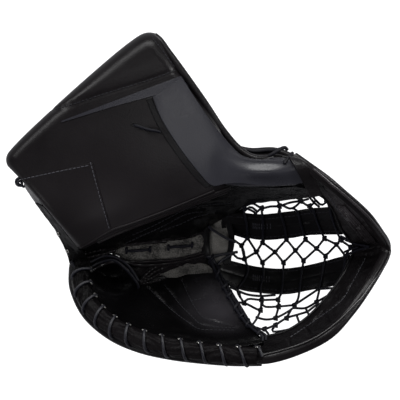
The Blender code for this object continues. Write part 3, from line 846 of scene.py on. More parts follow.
def make_finish(name, finish, colour):
    """A material that follows a shared pattern group, with painted light and shade round one place: paler for
    a painted highlight, darker for painted shade.
    """
    material = bpy.data.materials.new(name)
    material.use_nodes = True
    tree = material.node_tree
    shader = tree.nodes["Principled BSDF"]
    pattern = add_node(
        tree, "ShaderNodeGroup", finish.values, node_tree=bpy.data.node_groups[finish.pattern]
    )
    tone = pattern.outputs["Tone"]
    dark, light = finish.tones
    tint = mix(tree, tone, shade(colour, dark), shade(colour, light))
    # Painted light and shade: the colour is mixed toward a paler or darker copy of itself round one place.
    if finish.worn:
        place, reach, share = finish.worn
        here = add_node(tree, "ShaderNodeTexCoord").outputs["Object"]
        far = add_node(tree, "ShaderNodeVectorMath", {0: here, 1: place}, operation="DISTANCE")
        near = add_node(
            tree, "ShaderNodeMapRange",
            {"Value": far.outputs["Value"], "From Max": reach, "To Min": 1.0, "To Max": 0.0},
            interpolation_type="SMOOTHSTEP",
        )  # fmt: skip
        tint = mix(tree, near.outputs["Result"], tint, shade(colour, share))
    gloss = add_node(tree, "ShaderNodeMapRange", {0: tone, 3: finish.rough[0], 4: finish.rough[1]})
    strength, distance = finish.bump
    relief = add_node(
        tree, "ShaderNodeBump",
        {"Strength": strength, "Distance": distance, "Height": pattern.outputs["Height"]},
    )  # fmt: skip
    tree.links.new(tint, shader.inputs["Base Color"])
    tree.links.new(gloss.outputs[0], shader.inputs["Roughness"])
    tree.links.new(relief.outputs["Normal"], shader.inputs["Normal"])
    shader.inputs["Specular IOR Level"].default_value = finish.shine
    shader.inputs["Metallic"].default_value = finish.metal


class GLOVE_OT_finishes(bpy.types.Operator):
    """Makes the pattern groups and the finishes, and finishes the ring, which stays as its solid is."""

    bl_idname = "glove.finishes"
    bl_label = "Finishes"

    def execute(self, context):
        make_hide_group()
        make_nap_group()
        make_weave_group()
        for name, finish in FINISHES.items():
            make_finish(name, finish, getattr(context.scene.glove_colours, finish.colour))
        ring_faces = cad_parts["wrist_ring"].data
        ring_faces.materials.clear()
        ring_faces.materials.append(bpy.data.materials["nickel_plate"])
        return {"FINISHED"}


CUFF_SEAM = ((52, 110), (76, 103), (100, 95), (150, 79.5), (178, 69))
CUFF_SIDE = (
    (154, 36, 126), (160, 41.5, 129), (166, 50, 131), (176, 63.5, 134), (190, 83, 137), (205, 104.5, 140),
    (219, 126, 142), (231, 141.5, 144), (239, 149.5, 146), (247, 155.5, 148), (256, 158.8, 149),
    (265, 159.2, 147), (271, 157.5, 143),
)  # fmt: skip
CUFF_HEM = ((80, 247.5), (95, 239), (111, 230), (130, 223.5), (160, 212.5), (190, 200.5), (214, 190.5))
PANEL_INNER = (
    (152, 97), (162, 121), (180, 149), (200, 174.5), (212, 185.5), (224, 184), (240, 183), (258, 185),
    (280, 185.5), (303, 183),
)  # fmt: skip
PANEL_OUTER = (
    (181, 77), (192, 94), (204, 112), (215, 127), (224, 138), (231, 146.5), (240, 154.5), (252, 158.5),
    (270, 159.5), (291, 159),
)  # fmt: skip
CORNER_TOP = ((20, 177.5), (50, 171), (92, 162.5))
CORNER_SIDE = ((92, 162.5), (101, 196), (111.5, 231))
CORNER_EDGE = ((23, 179), (43, 204), (62, 226), (80, 247))
STRIPE_TOP = ((61, 121), (110, 102.5), (150, 87.5), (183, 75))
STRIPE_FOOT = ((61, 122.4), (110, 107.5), (152, 96), (189, 86))
SIDE_SEAM = ((152, 38), (160, 48), (168, 59), (175, 68))
TIE_DIP = ((150, 131), (160, 134), (172, 138))
TIE_LINE = ((132.5, 124.5), (138, 126.5), (147, 129.5), (156, 131), (161.5, 132.5))
TIE_LIFT = np.array((-2.0, 1.6, 2.0, 1.6, -2.0))
CORNER_LOOP = (
    (23, 178, 128), (17.5, 178.5, 129), (15.5, 181.5, 128), (17, 185, 127), (21, 185.5, 126),
    (21, 182, 128), (18, 181, 129), (18, 184, 127), (24, 187, 124),
)  # fmt: skip
# The bound edge over the hand: name, radius, shift from the cuff's last section, and its last point of 80.
CUFF_LIPS = (("upper", 0.0021, (0.5, -0.8, -5.0), 80), ("lower", 0.0019, (1.2, -3.2, -10.0), 78))


class GLOVE_OT_cuff(bpy.types.Operator):
    """Models the padded cuff, its sewn-on panels, its bound edges, its tie and its lining."""

    bl_idname = "glove.cuff"
    bl_label = "Cuff"

    def execute(self, context):
        face = inset(loft(*CUFF_SECTIONS), 0.043, 0.925, 0.082, 0.962, 0.02)
        skin = pad(
            "cuff_skin", face, (124, 96), 9, lambda a, b: 6.5 + (7 + 6 * a) * np.exp(-7 * b), CUFF_DEPTH
        )
        self.raise_above_seam(skin)
        press(skin, [CUFF_SEAM], 0.8, 1.5)
        press(skin, [TIE_DIP], 0.6, 5.0)
        thicken(skin, 2.0, 0)
        smooth(skin)
        dress(skin, "leather_black", "thumb_half", "cuff_cover", "cuff_foam", "cuff_board")
        corner = patch("cuff_corner_overlay", CORNER_EDGE, CORNER_SIDE, 40, 40, [skin], 0.9, 0.9)
        dress(corner, "leather_black", "thumb_half", "cuff_corner_panel")
        stripe = patch("cuff_stripe_grey", STRIPE_TOP, STRIPE_FOOT, 8, 80, [skin], 1.0, 0.9)
        dress(stripe, "leather_grey", "thumb_half")
        inner = PANEL_INNER[:5]
        border = patch(
            "cuff_border", shifted(inner, -6.5, 2.2), shifted(inner, -0.8, 0.3), 6, 60, [skin], 0.8, 0.7
        )
        dress(border, "leather_smooth", "thumb_half")
        dress(stitches("cuff_stitches", [CUFF_SEAM, SIDE_SEAM], [skin]), "thread_black", "thumb_half")
        rows = [shifted(CORNER_TOP, 0, 2.2), shifted(CORNER_SIDE, -2.0, 0)]
        dress(stitches("cuff_corner_stitches", rows, [corner, skin]), "thread_dark", "thumb_half")
        hem = drape(route(np.array(CUFF_HEM, float), 90), [skin], 0.4)[0]
        dress(tubes("cuff_hem_piping", [hem], 0.0011, 3), "leather_black", "thumb_half")
        self.bind()
        self.tie(skin)
        self.line()
        return {"FINISHED"}

    def raise_above_seam(self, skin):
        """Lifts the leather beyond the seam, on a slope that widens along it."""
        places = points_of(skin)
        pixels = pictured(places)
        seam = route(np.array(CUFF_SEAM, float), 200)
        line = np.interp(pixels[:, 0], seam[:, 0], seam[:, 1])
        slope = np.interp(pixels[:, 0], (55, 170), (4, 26))
        above = np.clip((line - pixels[:, 1]) / slope, 0, 1) * (pixels[:, 0] < 190)
        set_points(skin, places + (1.9 * np.sin(above * math.pi / 2))[:, None] * UP)

    def bind(self):
        """The cord down the thumb side, and the double bound edge over the hand."""
        cord = tubes("cuff_side_cord", [route(at(CUFF_SIDE), 80)], 0.0040, 4)
        dress(cord, "leather_bound", "thumb_half", "cuff_side_piping")
        hand = route(CUFF_SECTIONS[3], 80)
        for name, radius, shift, last in CUFF_LIPS:
            edge = tubes(f"cuff_lip_{name}", [hand[12:last] + np.array(shift)], radius, 3)
            dress(edge, "leather_bound", "thumb_half")

    def tie(self, skin):
        """The short lace over the cuff, its two eyelets and the knot at the corner."""
        spots, facing = drape(TIE_LINE, [skin])
        lace = tubes("cuff_tie", [route(spots + TIE_LIFT[:, None] * facing, 40)], sizes().lace, 3)
        dress(lace, "lace_net", "thumb_half", "cuff_tie_lace")
        ends = [0, -1]
        eyelets(
            "cuff_tie_eyelets", spots[ends], facing[ends], 0.3, 1.7, 0.55, "leather_smooth", "thumb_half"
        )
        knot = tubes("cuff_corner_loop", [route(at(CORNER_LOOP), 60)], 0.0015, 3)
        dress(knot, "lace_waxed", "thumb_half")

    def line(self):
        """The quilted lining under the cuff."""
        face = inset(loft(*CUFF_SECTIONS), 0.07, 0.92, 0.10, 0.93)
        piece, u, v = grid("cuff_lining_cloth", 80, 60)
        quilt = 1.2 * np.abs(np.sin(9 * math.pi * u) * np.sin(7 * math.pi * v)) ** 0.6
        set_points(piece, face(u, v) + (quilt[:, None] + CUFF_DEPTH - 1.4) * DOWN)
        face_toward(piece, DOWN)
        thicken(piece, 1.4)
        smooth(piece)
        dress(piece, "cloth_lining", "thumb_half", "cuff_lining")


THUMB_SEAM = ((236, 183), (258, 184), (280, 185.5), (299, 184.5))
WALL_TOP = (
    (78, 250, 98), (111, 229, 114), (150, 213, 125), (190, 198.5, 130), (230, 184.5, 133), (258, 187, 134),
    (280, 188, 132), (300, 186, 128), (313, 182, 126),
)  # fmt: skip
WALL_MIDDLE = (
    (82, 253, 84), (118, 239, 94), (150, 226, 100), (190, 211, 104), (225, 198, 104), (256, 194, 106),
    (282, 194, 106), (302, 191.5, 104), (315, 190, 104),
)  # fmt: skip
WALL_FOOT = (
    (86, 256, 72), (125, 247, 64), (150, 243, 60), (190, 239, 57), (214, 224, 56), (245, 207, 64),
    (264, 202.5, 72), (290, 200, 80), (314, 197, 84),
)  # fmt: skip
WALL_FOLDS = (
    ((132, 235), (150, 227), (165, 219.5), (185, 209.5), (205, 205), (232, 203)),
    ((125, 243), (150, 232), (165, 225), (185, 214.5), (205, 211)),
    ((160, 231), (180, 224), (195, 217), (212, 213)),
)
THUMB_STRAP = (
    ((291, 157, 143), (288.5, 156, 156), (294.5, 167, 164), (302, 182, 158), (310, 198, 132)),
    ((303, 159.5, 143), (301.5, 158.5, 157), (309, 168, 163), (316, 180, 154), (322, 196, 131)),
)
THUMB_TIP = (
    ((281, 156, 141), (288, 172, 143), (294, 187, 136)),
    ((300, 156, 141), (308, 170, 141), (313, 190, 134)),
)
THUMB_SIDE = (
    ((26, 68, 136), (44, 53, 137), (62, 49, 137), (80, 49, 137), (97, 46, 133), (105, 41, 131)),
    ((30, 63, 125), (46, 53, 126), (61, 50, 126), (80, 50.5, 126), (98, 46, 125), (108, 39, 124)),
    ((33, 58, 113), (50, 51.5, 113), (60, 50, 113), (80, 50, 115), (100, 43.5, 117), (112, 36, 117)),
)
THUMB_BACK = (
    (22, 64, 116), (36, 57, 118), (55, 52.5, 118), (80, 53, 120), (100, 46, 122), (112, 38, 122),
    (121, 31, 120),
)  # fmt: skip
THUMB_LACES = (
    ((246, 150, 122), (256, 151.5, 124), (266, 150.5, 128), (275, 150, 133), (283, 148, 138)),
    ((266, 157.5, 146), (272, 154, 148), (278, 150, 146), (284, 147.5, 140), (287, 150, 138)),
    ((292, 153, 146), (289, 157, 153), (285, 161, 157), (284, 163.5, 158)),
)


class GLOVE_OT_thumb(bpy.types.Operator):
    """Models the padded thumb, the creased wall down to the break, the strap over the rim and its laces."""

    bl_idname = "glove.thumb"
    bl_label = "Thumb"

    def execute(self, context):
        face = inset(loft(*THUMB_SECTIONS), 0.16, 0.86, 0.0, 0.95)
        skin = pad("thumb_skin", face, (44, 90), 8, lambda a, b: 5.0 + 0 * a, THUMB_DEPTH)
        press(skin, [THUMB_SEAM], 0.7, 1.0)
        thicken(skin, 1.8, 0)
        smooth(skin)
        dress(skin, "leather_grey", "thumb_half", "thumb_cover", "thumb_foam", "thumb_shield")
        self.wall()
        sheet(
            "thumb_tip_skin", seen(*THUMB_TIP), (24, 24), 2.0, (9.0, 1.2, 2.0), "leather_palm", "thumb_half"
        )
        sheet(
            "thumb_strap", seen(*THUMB_STRAP), (40, 14), 2.4, (9.0, 1.2, 5.0), "leather_rim", "thumb_half",
            "thumb_tab",
        )  # fmt: skip
        sheet(
            "thumb_side_skin", loft(*THUMB_SIDE), (60, 16), 2.0, (12.0, 1.2, 9.0), "leather_black",
            "thumb_half", toward=(0, 1, 0),
        )  # fmt: skip
        dress(tubes("thumb_back_edge", [route(THUMB_BACK, 60)], 0.0042, 4), "leather_black", "thumb_half")
        laces(
            "thumb_back_laces", THUMB_LACES, 30, 1.2 * sizes().lace, "lace_net", "thumb_half", "thumb_lace"
        )
        return {"FINISHED"}

    def wall(self):
        """The creased wall from the hem of the cuff down to the break, with its sewn folds."""
        wall, u, v = grid("thumb_inner_wall", 150, 40)
        set_points(wall, seen(WALL_TOP, WALL_MIDDLE, WALL_FOOT)(u, v))
        face_toward(wall, (0, -1, 0.6))
        crumple(wall, 14.0, 2.2, 30.0)
        press(wall, WALL_FOLDS, -2.6, 1.5)
        press(wall, [shifted(line, 0, 3) for line in WALL_FOLDS], 1.6, 1.6)
        thicken(wall, 2.2)
        smooth(wall)
        dress(wall, "leather_palm", "thumb_half", "thumb_wall")
        dress(stitches("thumb_wall_stitches", WALL_FOLDS, [wall]), "thread_black", "thumb_half")


class GLOVE_OT_panel(bpy.types.Operator):
    """Models the grey face that runs from the cuff over the thumb."""

    bl_idname = "glove.panel"
    bl_label = "Grey face"

    def execute(self, context):
        under = [bpy.data.objects[name] for name in ("cuff_skin", "thumb_skin")]
        face = blanket("cuff_panel_grey", PANEL_INNER, PANEL_OUTER, 60, 130, under, 0.9, 1.0)
        dress(face, "leather_grey", "thumb_half", "cuff_grey_panel")
        return {"FINISHED"}


def cord_frame(line, count):
    """Places along a line, with the upward and sideways directions across it."""
    spine = route(line, count)
    heading = unit(np.gradient(spine, axis=0))
    upright = unit(UP - heading * heading[:, 2:])
    return spine, upright, np.cross(heading, upright)


RIM_WELT = (
    (256, 356.5), (275, 352.5), (295, 346.5), (312, 339.5), (326, 331), (340, 319.5), (351, 308),
    (362, 296), (372, 282), (381, 269), (387.5, 257), (389, 250), (386, 241.5), (380, 232), (367, 216.5),
    (350, 200.5), (330, 183.5), (312, 168.5),
)  # fmt: skip
RIM_GROOVE = (((313, 321), (340, 301), (351, 284), (367, 254)),)
TIP_FOLD = (((364, 250), (376, 247), (389, 246)),)
TIP_RIDGES = (((345, 218), (352, 226), (362, 235)), ((341, 211), (351, 219), (363, 229)))
RIM_CREASES = (
    ((292, 352), (288, 339)), ((313, 342), (305, 326)), ((332, 327), (322, 312)), ((347, 310), (337, 297)),
    ((361, 291), (350, 280)), ((326, 186), (334, 178)), ((341, 207), (353, 203)), ((357, 226), (371, 222)),
)  # fmt: skip
PLEATS_INNER = ((337, 205), (347, 221), (360, 237), (368, 244))
PLEATS_OUTER = ((345, 206), (358, 220), (370, 234), (377, 243))
PLEAT_LINES = (
    ((340, 207), (350, 219), (362, 234), (370, 242)), ((342, 206.5), (353, 220), (366, 235), (372, 242)),
    ((338.5, 207.5), (348, 221), (360, 236), (368, 243)),
    ((344, 207), (356, 220), (368, 234.5), (375, 242)),
)  # fmt: skip
RIM_STITCHES = (
    ((290, 337), (313, 321.5), (340, 301.5), (351, 284.5), (366, 256)),
    ((322, 186), (340, 213), (354, 228), (365, 240)),
)


class GLOVE_OT_rim(bpy.types.Operator):
    """Models the bound rim of the pocket, right round its tip."""

    bl_idname = "glove.rim"
    bl_label = "Pocket rim"

    def execute(self, context):
        edge, seam, inner = (np.array(line, float) for line in (RIM_EDGE, RIM_SEAM, RIM_INNER))
        inward = unit(seam - edge) * 2.6
        wall, u, v = grid("pocket_rim_wall", 280, 44)
        set_points(
            wall, loft(edge + inward, 0.5 * (edge + seam) + np.array((0, 0, -1.5)), seam, inner)(u, v)
        )
        face_toward(wall, UP)
        crumple(wall, 12.0, 2.6, 11.0)
        for lines, depth, width in (
            (RIM_GROOVE, 1.0, 1.1), (TIP_FOLD, 2.2, 1.6), (TIP_RIDGES, -1.6, 1.6), (RIM_CREASES, 1.4, 1.3),
        ):  # fmt: skip
            press(wall, lines, depth, width)
        thicken(wall, 4.0)
        smooth(wall)
        dress(
            wall, "leather_rim", "fold", "finger_rim_wall", "thumb_rim_wall", "finger_net_rail",
            "thumb_net_rail", "tip_gusset",
        )  # fmt: skip
        binding = self.binding(edge)
        dress(binding, "leather_bound", "fold", "finger_rim_binding", "thumb_rim_binding")
        raised = drape(route(np.array(RIM_WELT, float), 220), [binding, wall], 0.5)[0]
        dress(tubes("pocket_rim_welt", [raised], 0.0015, 3), "leather_welt", "fold")
        pleats = patch("pocket_tip_pleats", PLEATS_INNER, PLEATS_OUTER, 28, 60, [wall], 0.8, 1.2)
        press(pleats, PLEAT_LINES, -1.6, 0.8)
        dress(pleats, "leather_welt", "fold")
        cord = tubes("pocket_rim_cord", [route(inner + np.array((0, 0, 0.5)), 160)], 0.0017, 3)
        dress(cord, "leather_smooth", "fold")
        dress(stitches("pocket_rim_stitches", RIM_STITCHES, [wall]), "thread_dark", "fold")
        return {"FINISHED"}

    def binding(self, edge):
        """The flattened roll of leather that the rim is bound with."""
        columns, sides = 240, 28
        piece, u, v = grid("pocket_rim_binding", columns, sides)
        spine, upright, aside = cord_frame(edge, columns + 1)
        stop = np.rint(u * columns).astype(int)
        turn = 2 * math.pi * v
        tall = sizes().binding / MM
        wide = 1.35 * tall * (1 + 0.03 * np.sin(31 * u) * np.sin(3 * turn))
        rise = tall * (1 - 0.16 * np.exp(-(((np.sin(turn) - 0.30) / 0.16) ** 2)))
        across = (wide * np.sin(turn) - 0.35 * tall)[:, None] * aside[stop]
        set_points(piece, spine[stop] + across + (rise * np.cos(turn))[:, None] * upright[stop])
        edit(piece, merge, close_ends)
        edit(piece, outward)
        smooth(piece, 60)
        return piece


PALM_MIDDLE = np.array((-40.0, -60.0, 0.0))


class GLOVE_OT_roll(bpy.types.Operator):
    """Models the rolled rim of the fingers, the lace that is whipped round it and its eyelets."""

    bl_idname = "glove.roll"
    bl_label = "Rolled rim"

    def execute(self, context):
        columns, sides = 260, 64
        roll, u, v = grid("rim_roll", columns, sides)
        spine, upright, aside = self.inside(columns + 1)
        stop = np.rint(u * columns).astype(int)
        turn = 2 * math.pi * v
        pinch = np.maximum(np.cos(turn - 2 * math.pi * LACE_TURNS * u), 0) ** 10
        wrinkle = np.sin(9 * turn + 5 * np.sin(17 * u) + 1.5 * np.sin(47 * u))
        swell = 1 - 0.09 * pinch + 0.045 * wrinkle + 0.012 * np.sin(70 * u + 3 * np.cos(turn))
        ends = np.clip(np.minimum(u, 1 - u) * 45, 0.55, 1) ** 0.6
        across = (ROLL_WIDE * swell * ends * np.sin(turn))[:, None] * aside[stop]
        tall = (ROLL_TALL * swell * ends * np.cos(turn))[:, None] * upright[stop]
        set_points(roll, spine[stop] + across + tall)
        edit(roll, merge, close_ends)
        edit(roll, outward)
        crumple(roll, 9.0, 1.8, 13.0)
        smooth(roll, 60)
        dress(roll, "leather_creased", "finger_half", "heel_roll")
        steps = LACE_TURNS * POINTS_A_TURN
        spine, upright, aside = self.inside(steps + 1)
        turn = 2 * math.pi * np.arange(steps + 1) / POINTS_A_TURN
        wide, tall = ROLL_WIDE + 1.2, ROLL_TALL + 1.2
        path = spine + (wide * np.sin(turn))[:, None] * aside + (tall * np.cos(turn))[:, None] * upright
        lace = tubes("rim_lace", [path], sizes().lace, 3)
        dress(lace, "lace_waxed", "finger_half", "rim_lacing")
        self.pierce(path, spine)
        spine, _, aside = cord_frame(ROLL, 160)
        outer = tubes("finger_back_edge", [spine + 6.3 * aside - 6.5 * UP], 0.0052, 4)
        dress(outer, "leather_smooth", "finger_half")
        return {"FINISHED"}

    def inside(self, count):
        """The line of the roll, drawn in from the edge of the back that shows beyond it."""
        spine, upright, aside = cord_frame(ROLL, count)
        share = np.clip((np.linspace(0, 1, count) - 0.55) / 0.4, 0, 1)
        return spine - (3.6 * (1 - share))[:, None] * aside, upright, aside

    def pierce(self, path, spine):
        """A ring where each turn of the lace goes into the leather on the palm side."""
        spots, facing = [], []
        for first in range(0, LACE_TURNS * POINTS_A_TURN, POINTS_A_TURN):
            turn = path[first : first + POINTS_A_TURN] - spine[first : first + POINTS_A_TURN]
            inward = PALM_MIDDLE - spine[first]
            inward /= np.linalg.norm(inward)
            place = int(np.argmax(turn @ (inward + 0.9 * UP)))
            spots.append(spine[first + place] + 0.97 * turn[place])
            facing.append(turn[place] / np.linalg.norm(turn[place]))
        eyelets("rim_eyelets", spots, facing, 0.0, 2.5, 0.8, "nickel_plate", "finger_half")


PALM_LINES = (
    ((148, 288), (160, 300), (175, 313), (190, 324), (199, 329), (215, 330), (238, 330)),
    ((164, 285), (180, 305), (190, 315), (200, 324), (215, 327), (238, 328)),
    ((181, 280), (187, 293), (193, 305), (201, 316), (211, 321), (232, 326)),
)
PALM_TACK = ((190, 301), (199, 299), (208, 297))
PALM_FOLDS = (
    ((141, 279), (150, 272), (160, 269)), ((141, 282), (152, 278), (163, 277)), ((138, 276), (146, 268))
)
PALM_EDGE = (
    (208, 256, 58), (216, 273, 66), (222, 285, 76), (232, 303, 98), (243, 320, 122), (255, 331, 140),
    (262, 336, 147), (262, 341, 150),
)  # fmt: skip
FOREFINGER_SIDE = (
    ((8, -70, 46), (24, -95, 60), (42, -119, 88), (56, -138, 118)),
    ((9, -70, 30), (22, -94, 40), (38, -119, 66), (50, -137, 98)),
    ((5, -66, 17), (12, -88, 24), (24, -113, 47), (37, -131, 79)),
)
BREAK_STRIP = (
    ((104, 249.5, 66), (120, 244.5, 64), (150, 240.5, 61), (190, 236.5, 58), (203, 233, 57)),
    ((107, 252, 66), (126, 252.5, 65), (150, 250, 63), (190, 246, 60), (203, 242, 59)),
    ((110, 253.5, 64), (130, 260, 62), (150, 259.5, 60), (180, 257.5, 57), (203, 251, 56)),
)
BREAK_LACES = (
    ((126, 250.3), (131, 250.2), (143, 250), (149.5, 249.3)),
    ((168, 247.5), (174, 247), (185, 246.3), (191.5, 245)),
)
FELT_EDGE = (
    ((157, 277, 63), (172, 266, 60), (190, 262.5, 58), (205, 264, 57), (212, 269, 58)),
    ((158, 281, 64), (175, 279, 62), (190, 275, 60), (203, 273, 60), (213, 273, 60)),
)
HEEL_GATHER = (
    (
        (74, 252, 78), (90, 252, 72), (106, 252, 68), (128, 261, 64), (150, 263, 61), (178, 261, 58),
        (204, 255, 56),
    ),
    (
        (78, 262, 80), (94, 259, 76), (110, 258, 72), (128, 266, 67), (147, 271, 65), (176, 264, 60),
        (205, 259, 57),
    ),
    (
        (84, 275, 78), (96, 268, 72), (111, 263.5, 69), (122, 268, 67), (137, 283, 64), (160, 279, 60),
        (205, 265, 55),
    ),
)
HEEL_RIDGES = (
    ((96, 262), (112, 256), (124, 263), (138, 280)), ((90, 268), (108, 261), (120, 264), (138, 281)),
    ((141, 275), (152, 267), (170, 263)), ((143, 279), (158, 273), (176, 266)),
)  # fmt: skip
HEEL_FOLDS = (
    ((139, 281.5, 68), (145, 275, 70), (152, 269, 66), (160, 265, 61)),
    ((140, 282, 68), (147, 277, 70), (154, 272, 66), (163, 268, 61)),
    ((140, 283, 68), (148, 279.5, 70), (155, 276, 66), (160, 273, 62)),
    ((139, 284, 67), (147, 283, 69), (155, 281, 66), (160, 280, 63)),
    ((104, 250, 69), (118, 244, 68), (136, 241.5, 66), (160, 239.5, 63), (184, 236.5, 61), (204, 232, 59)),
    ((100, 252.5, 71), (116, 246.5, 70), (134, 244, 67), (150, 242.5, 65), (166, 241.5, 62)),
    ((112, 256, 69), (128, 261.5, 67), (150, 261.5, 64), (176, 259.5, 61), (204, 252.5, 58)),
    ((120, 260, 70), (134, 264.5, 68), (152, 265, 65), (178, 262, 61), (205, 255.5, 58)),
    ((78, 257, 84), (88, 253, 80), (100, 250, 75), (112, 247, 71)),
    ((80, 261, 85), (90, 257, 81), (103, 254, 76), (116, 250, 71)),
    ((84, 281, 88), (90, 272, 84), (103, 264.5, 78), (116, 262, 75), (127, 270, 72), (137, 282, 69)),
)
FOLD_POINTS = 40
HEEL_LACES = (
    (
        (72, 273, 92), (80, 266, 90), (90, 262, 84), (104, 256, 76), (116, 258, 74), (128, 266, 73),
        (138, 281, 71),
    ),
    (
        (72, 286, 98), (78, 277, 94), (86, 270, 88), (98, 263, 80), (112, 260, 77), (124, 268, 74),
        (137, 284, 71), (137, 294, 66),
    ),
    ((71, 262, 86), (76, 270, 92), (84, 279, 96), (89, 287, 98)),
    ((72, 278, 96), (78, 287, 101), (86, 296, 104), (93, 299, 106)),
)  # fmt: skip


class GLOVE_OT_palm(bpy.types.Operator):
    """Models the palm, its sewn lines and corded edge, the felt at the break and the gathered heel."""

    bl_idname = "glove.palm"
    bl_label = "Palm and break"

    def execute(self, context):
        palm, u, v = grid("palm_hide", 120, 80)
        low, high = curve(PALM_TOP, u), curve(PALM_RIM, u)
        places = low + v[:, None] * (high - low)
        places[:, 2] = low[:, 2] + (high[:, 2] - low[:, 2]) * v**1.6
        hollow = np.exp(-((u - 0.18) ** 2) / 0.05 - ((v - 0.45) ** 2) / 0.10)
        lip = 6.0 * np.exp(-(((v - 0.90) / 0.08) ** 2)) * np.clip((u - 0.45) / 0.25, 0, 1)
        set_points(palm, places + (lip - 18 * hollow)[:, None] * UP)
        face_toward(palm, UP)
        crumple(palm, 60.0, 6.0, 7.0)
        crumple(palm, 18.0, 1.6, 3.0)
        press(palm, PALM_LINES, 1.6, 1.7)
        press(palm, PALM_FOLDS, -1.6, 1.6)
        thicken(palm, 4.5, 0.2)
        smooth(palm)
        dress(palm, "leather_palm", "finger_half", "palm_leather", "palm_felt", "palm_board")
        dress(stitches("palm_stitches", [*PALM_LINES, PALM_TACK], [palm]), "thread_black", "finger_half")
        self.lace_edge()
        sheet(
            "forefinger_side", loft(*FOREFINGER_SIDE), (50, 24), 2.0, (16.0, 2.0, 3.0), "leather_palm",
            "finger_half", "forefinger_wall", toward=(1, 0, 0),
        )  # fmt: skip
        self.strip()
        self.heel()
        return {"FINISHED"}

    def lace_edge(self):
        """The double cord at the palm's edge, and the lace that is whipped round it."""
        edge = route(at(PALM_EDGE), 70)
        turn = np.linspace(0, 2 * math.pi * 7.5, 300)
        turn = turn + 0.7 * np.sin(0.37 * turn)
        circle = np.column_stack((3.4 * np.cos(turn) + 1.8, 1.2 * np.cos(turn), 3.2 * np.sin(turn)))
        whip = route(edge[:-6], 300) + circle
        cords = tubes("palm_edge_laces", [edge, edge + np.array((3.4, 0.6, -2.4)), whip], 0.0015, 3)
        dress(cords, "lace_net", "finger_half", "palm_edge_cord")

    def strip(self):
        """The felt strip with its laces, and the second felt patch."""
        felt = sheet(
            "break_felt", seen(*BREAK_STRIP), (130, 36), 2.4, (6.0, 3.4, 2.0), "felt_worn", "fold",
            "break_strip",
        )  # fmt: skip
        runs = []
        for line in BREAK_LACES:
            spots, facing = drape(line, [felt])
            runs.append(route(spots + np.array((-2.2, 2.0, 2.0, -2.2))[:, None] * facing, 24))
            for x, y in (line[0], line[-1]):
                spots, facing = drape(((x, y - 2.6), (x, y), (x, y + 2.6)), [felt])
                runs.append(route(spots + np.array((-0.8, 1.0, -0.8))[:, None] * facing, 12))
        lace = tubes("break_laces", runs, sizes().lace, 3)
        dress(lace, "lace_net", "fold", "break_lace_left", "break_lace_right")
        sheet(
            "palm_felt_edge", seen(*FELT_EDGE), (40, 16), 2.0, (9.0, 0.8, 4.0), "felt_worn", "finger_half"
        )

    def heel(self):
        """The gathered leather of the heel, its rolled folds and its laces."""
        piece, u, v = grid("heel_gather", 130, 34)
        set_points(piece, seen(*HEEL_GATHER)(u, v))
        face_toward(piece, UP)
        crumple(piece, 11.0, 3.2, 9.0)
        press(piece, HEEL_RIDGES, -1.8, 1.3)
        thicken(piece, 2.0)
        smooth(piece)
        dress(piece, "leather_creased", "fold")
        ripple = np.column_stack((np.zeros((FOLD_POINTS, 2)), 0.8 * np.sin(np.arange(FOLD_POINTS) * 1.1)))
        folds = [route(at(run), FOLD_POINTS) + ripple for run in HEEL_FOLDS]
        dress(tubes("heel_folds", folds, 0.0017, 3), "leather_bound", "fold")
        laces("heel_laces", HEEL_LACES, 50, sizes().lace, "lace_net", "finger_half")


WEB_LINES = {
    "web_upper": (
        ((222, 213), (244, 214), (262, 215.5), (290, 212.5), (310, 209.5), (342, 207)),
        ((221, 233), (244, 237.5), (262, 240.5), (290, 238.5), (310, 235.5), (342, 235)),
    ),
    "web_lower": (
        ((221, 258), (244, 263.5), (262, 267), (285, 268), (310, 264), (349, 254)),
        ((214, 280), (242, 289.5), (262, 292.5), (285, 293.5), (310, 289.5), (340, 284)),
    ),
}
BASE_SKIRT = (
    ((200, 222, 50), (198, 240, 48), (200, 262, 46), (210, 282, 46)),
    ((226, 208, 44), (224, 236, 38), (222, 262, 38), (224, 288, 40)),
    ((246, 206, 46), (237, 226, 34), (232, 250, 32), (230, 272, 34)),
)
BASE_FELT = (
    ((209, 221, 54), (209, 240, 53), (210, 263, 54)),
    ((217, 217, 53), (222, 240, 50), (219, 265, 52)),
    ((222, 219, 52), (232, 240, 45), (224, 263, 50)),
)
BASE_BAR = (
    ((201, 229, 58), (200.5, 243, 57), (202, 257, 58)),
    ((205, 227, 60), (205, 243, 59.5), (206, 258, 60)),
    ((209.5, 226, 58), (209, 243, 57), (211, 259, 58)),
)
BASE_BAND = (
    ((223, 219, 54), (228, 236, 50), (227, 250, 49), (222, 264, 53)),
    ((230, 220, 54), (234, 237, 49), (233, 250, 48), (228, 265, 52)),
)
BASE_LACES = (
    ((208, 226, 60), (214, 231, 57), (224, 237, 54), (235, 242, 50)),
    ((206, 257, 61), (214, 256, 57), (224, 254, 54), (237, 252, 49)),
    ((212, 260, 60), (216, 265, 58), (222, 260, 56), (232, 254, 51)),
)


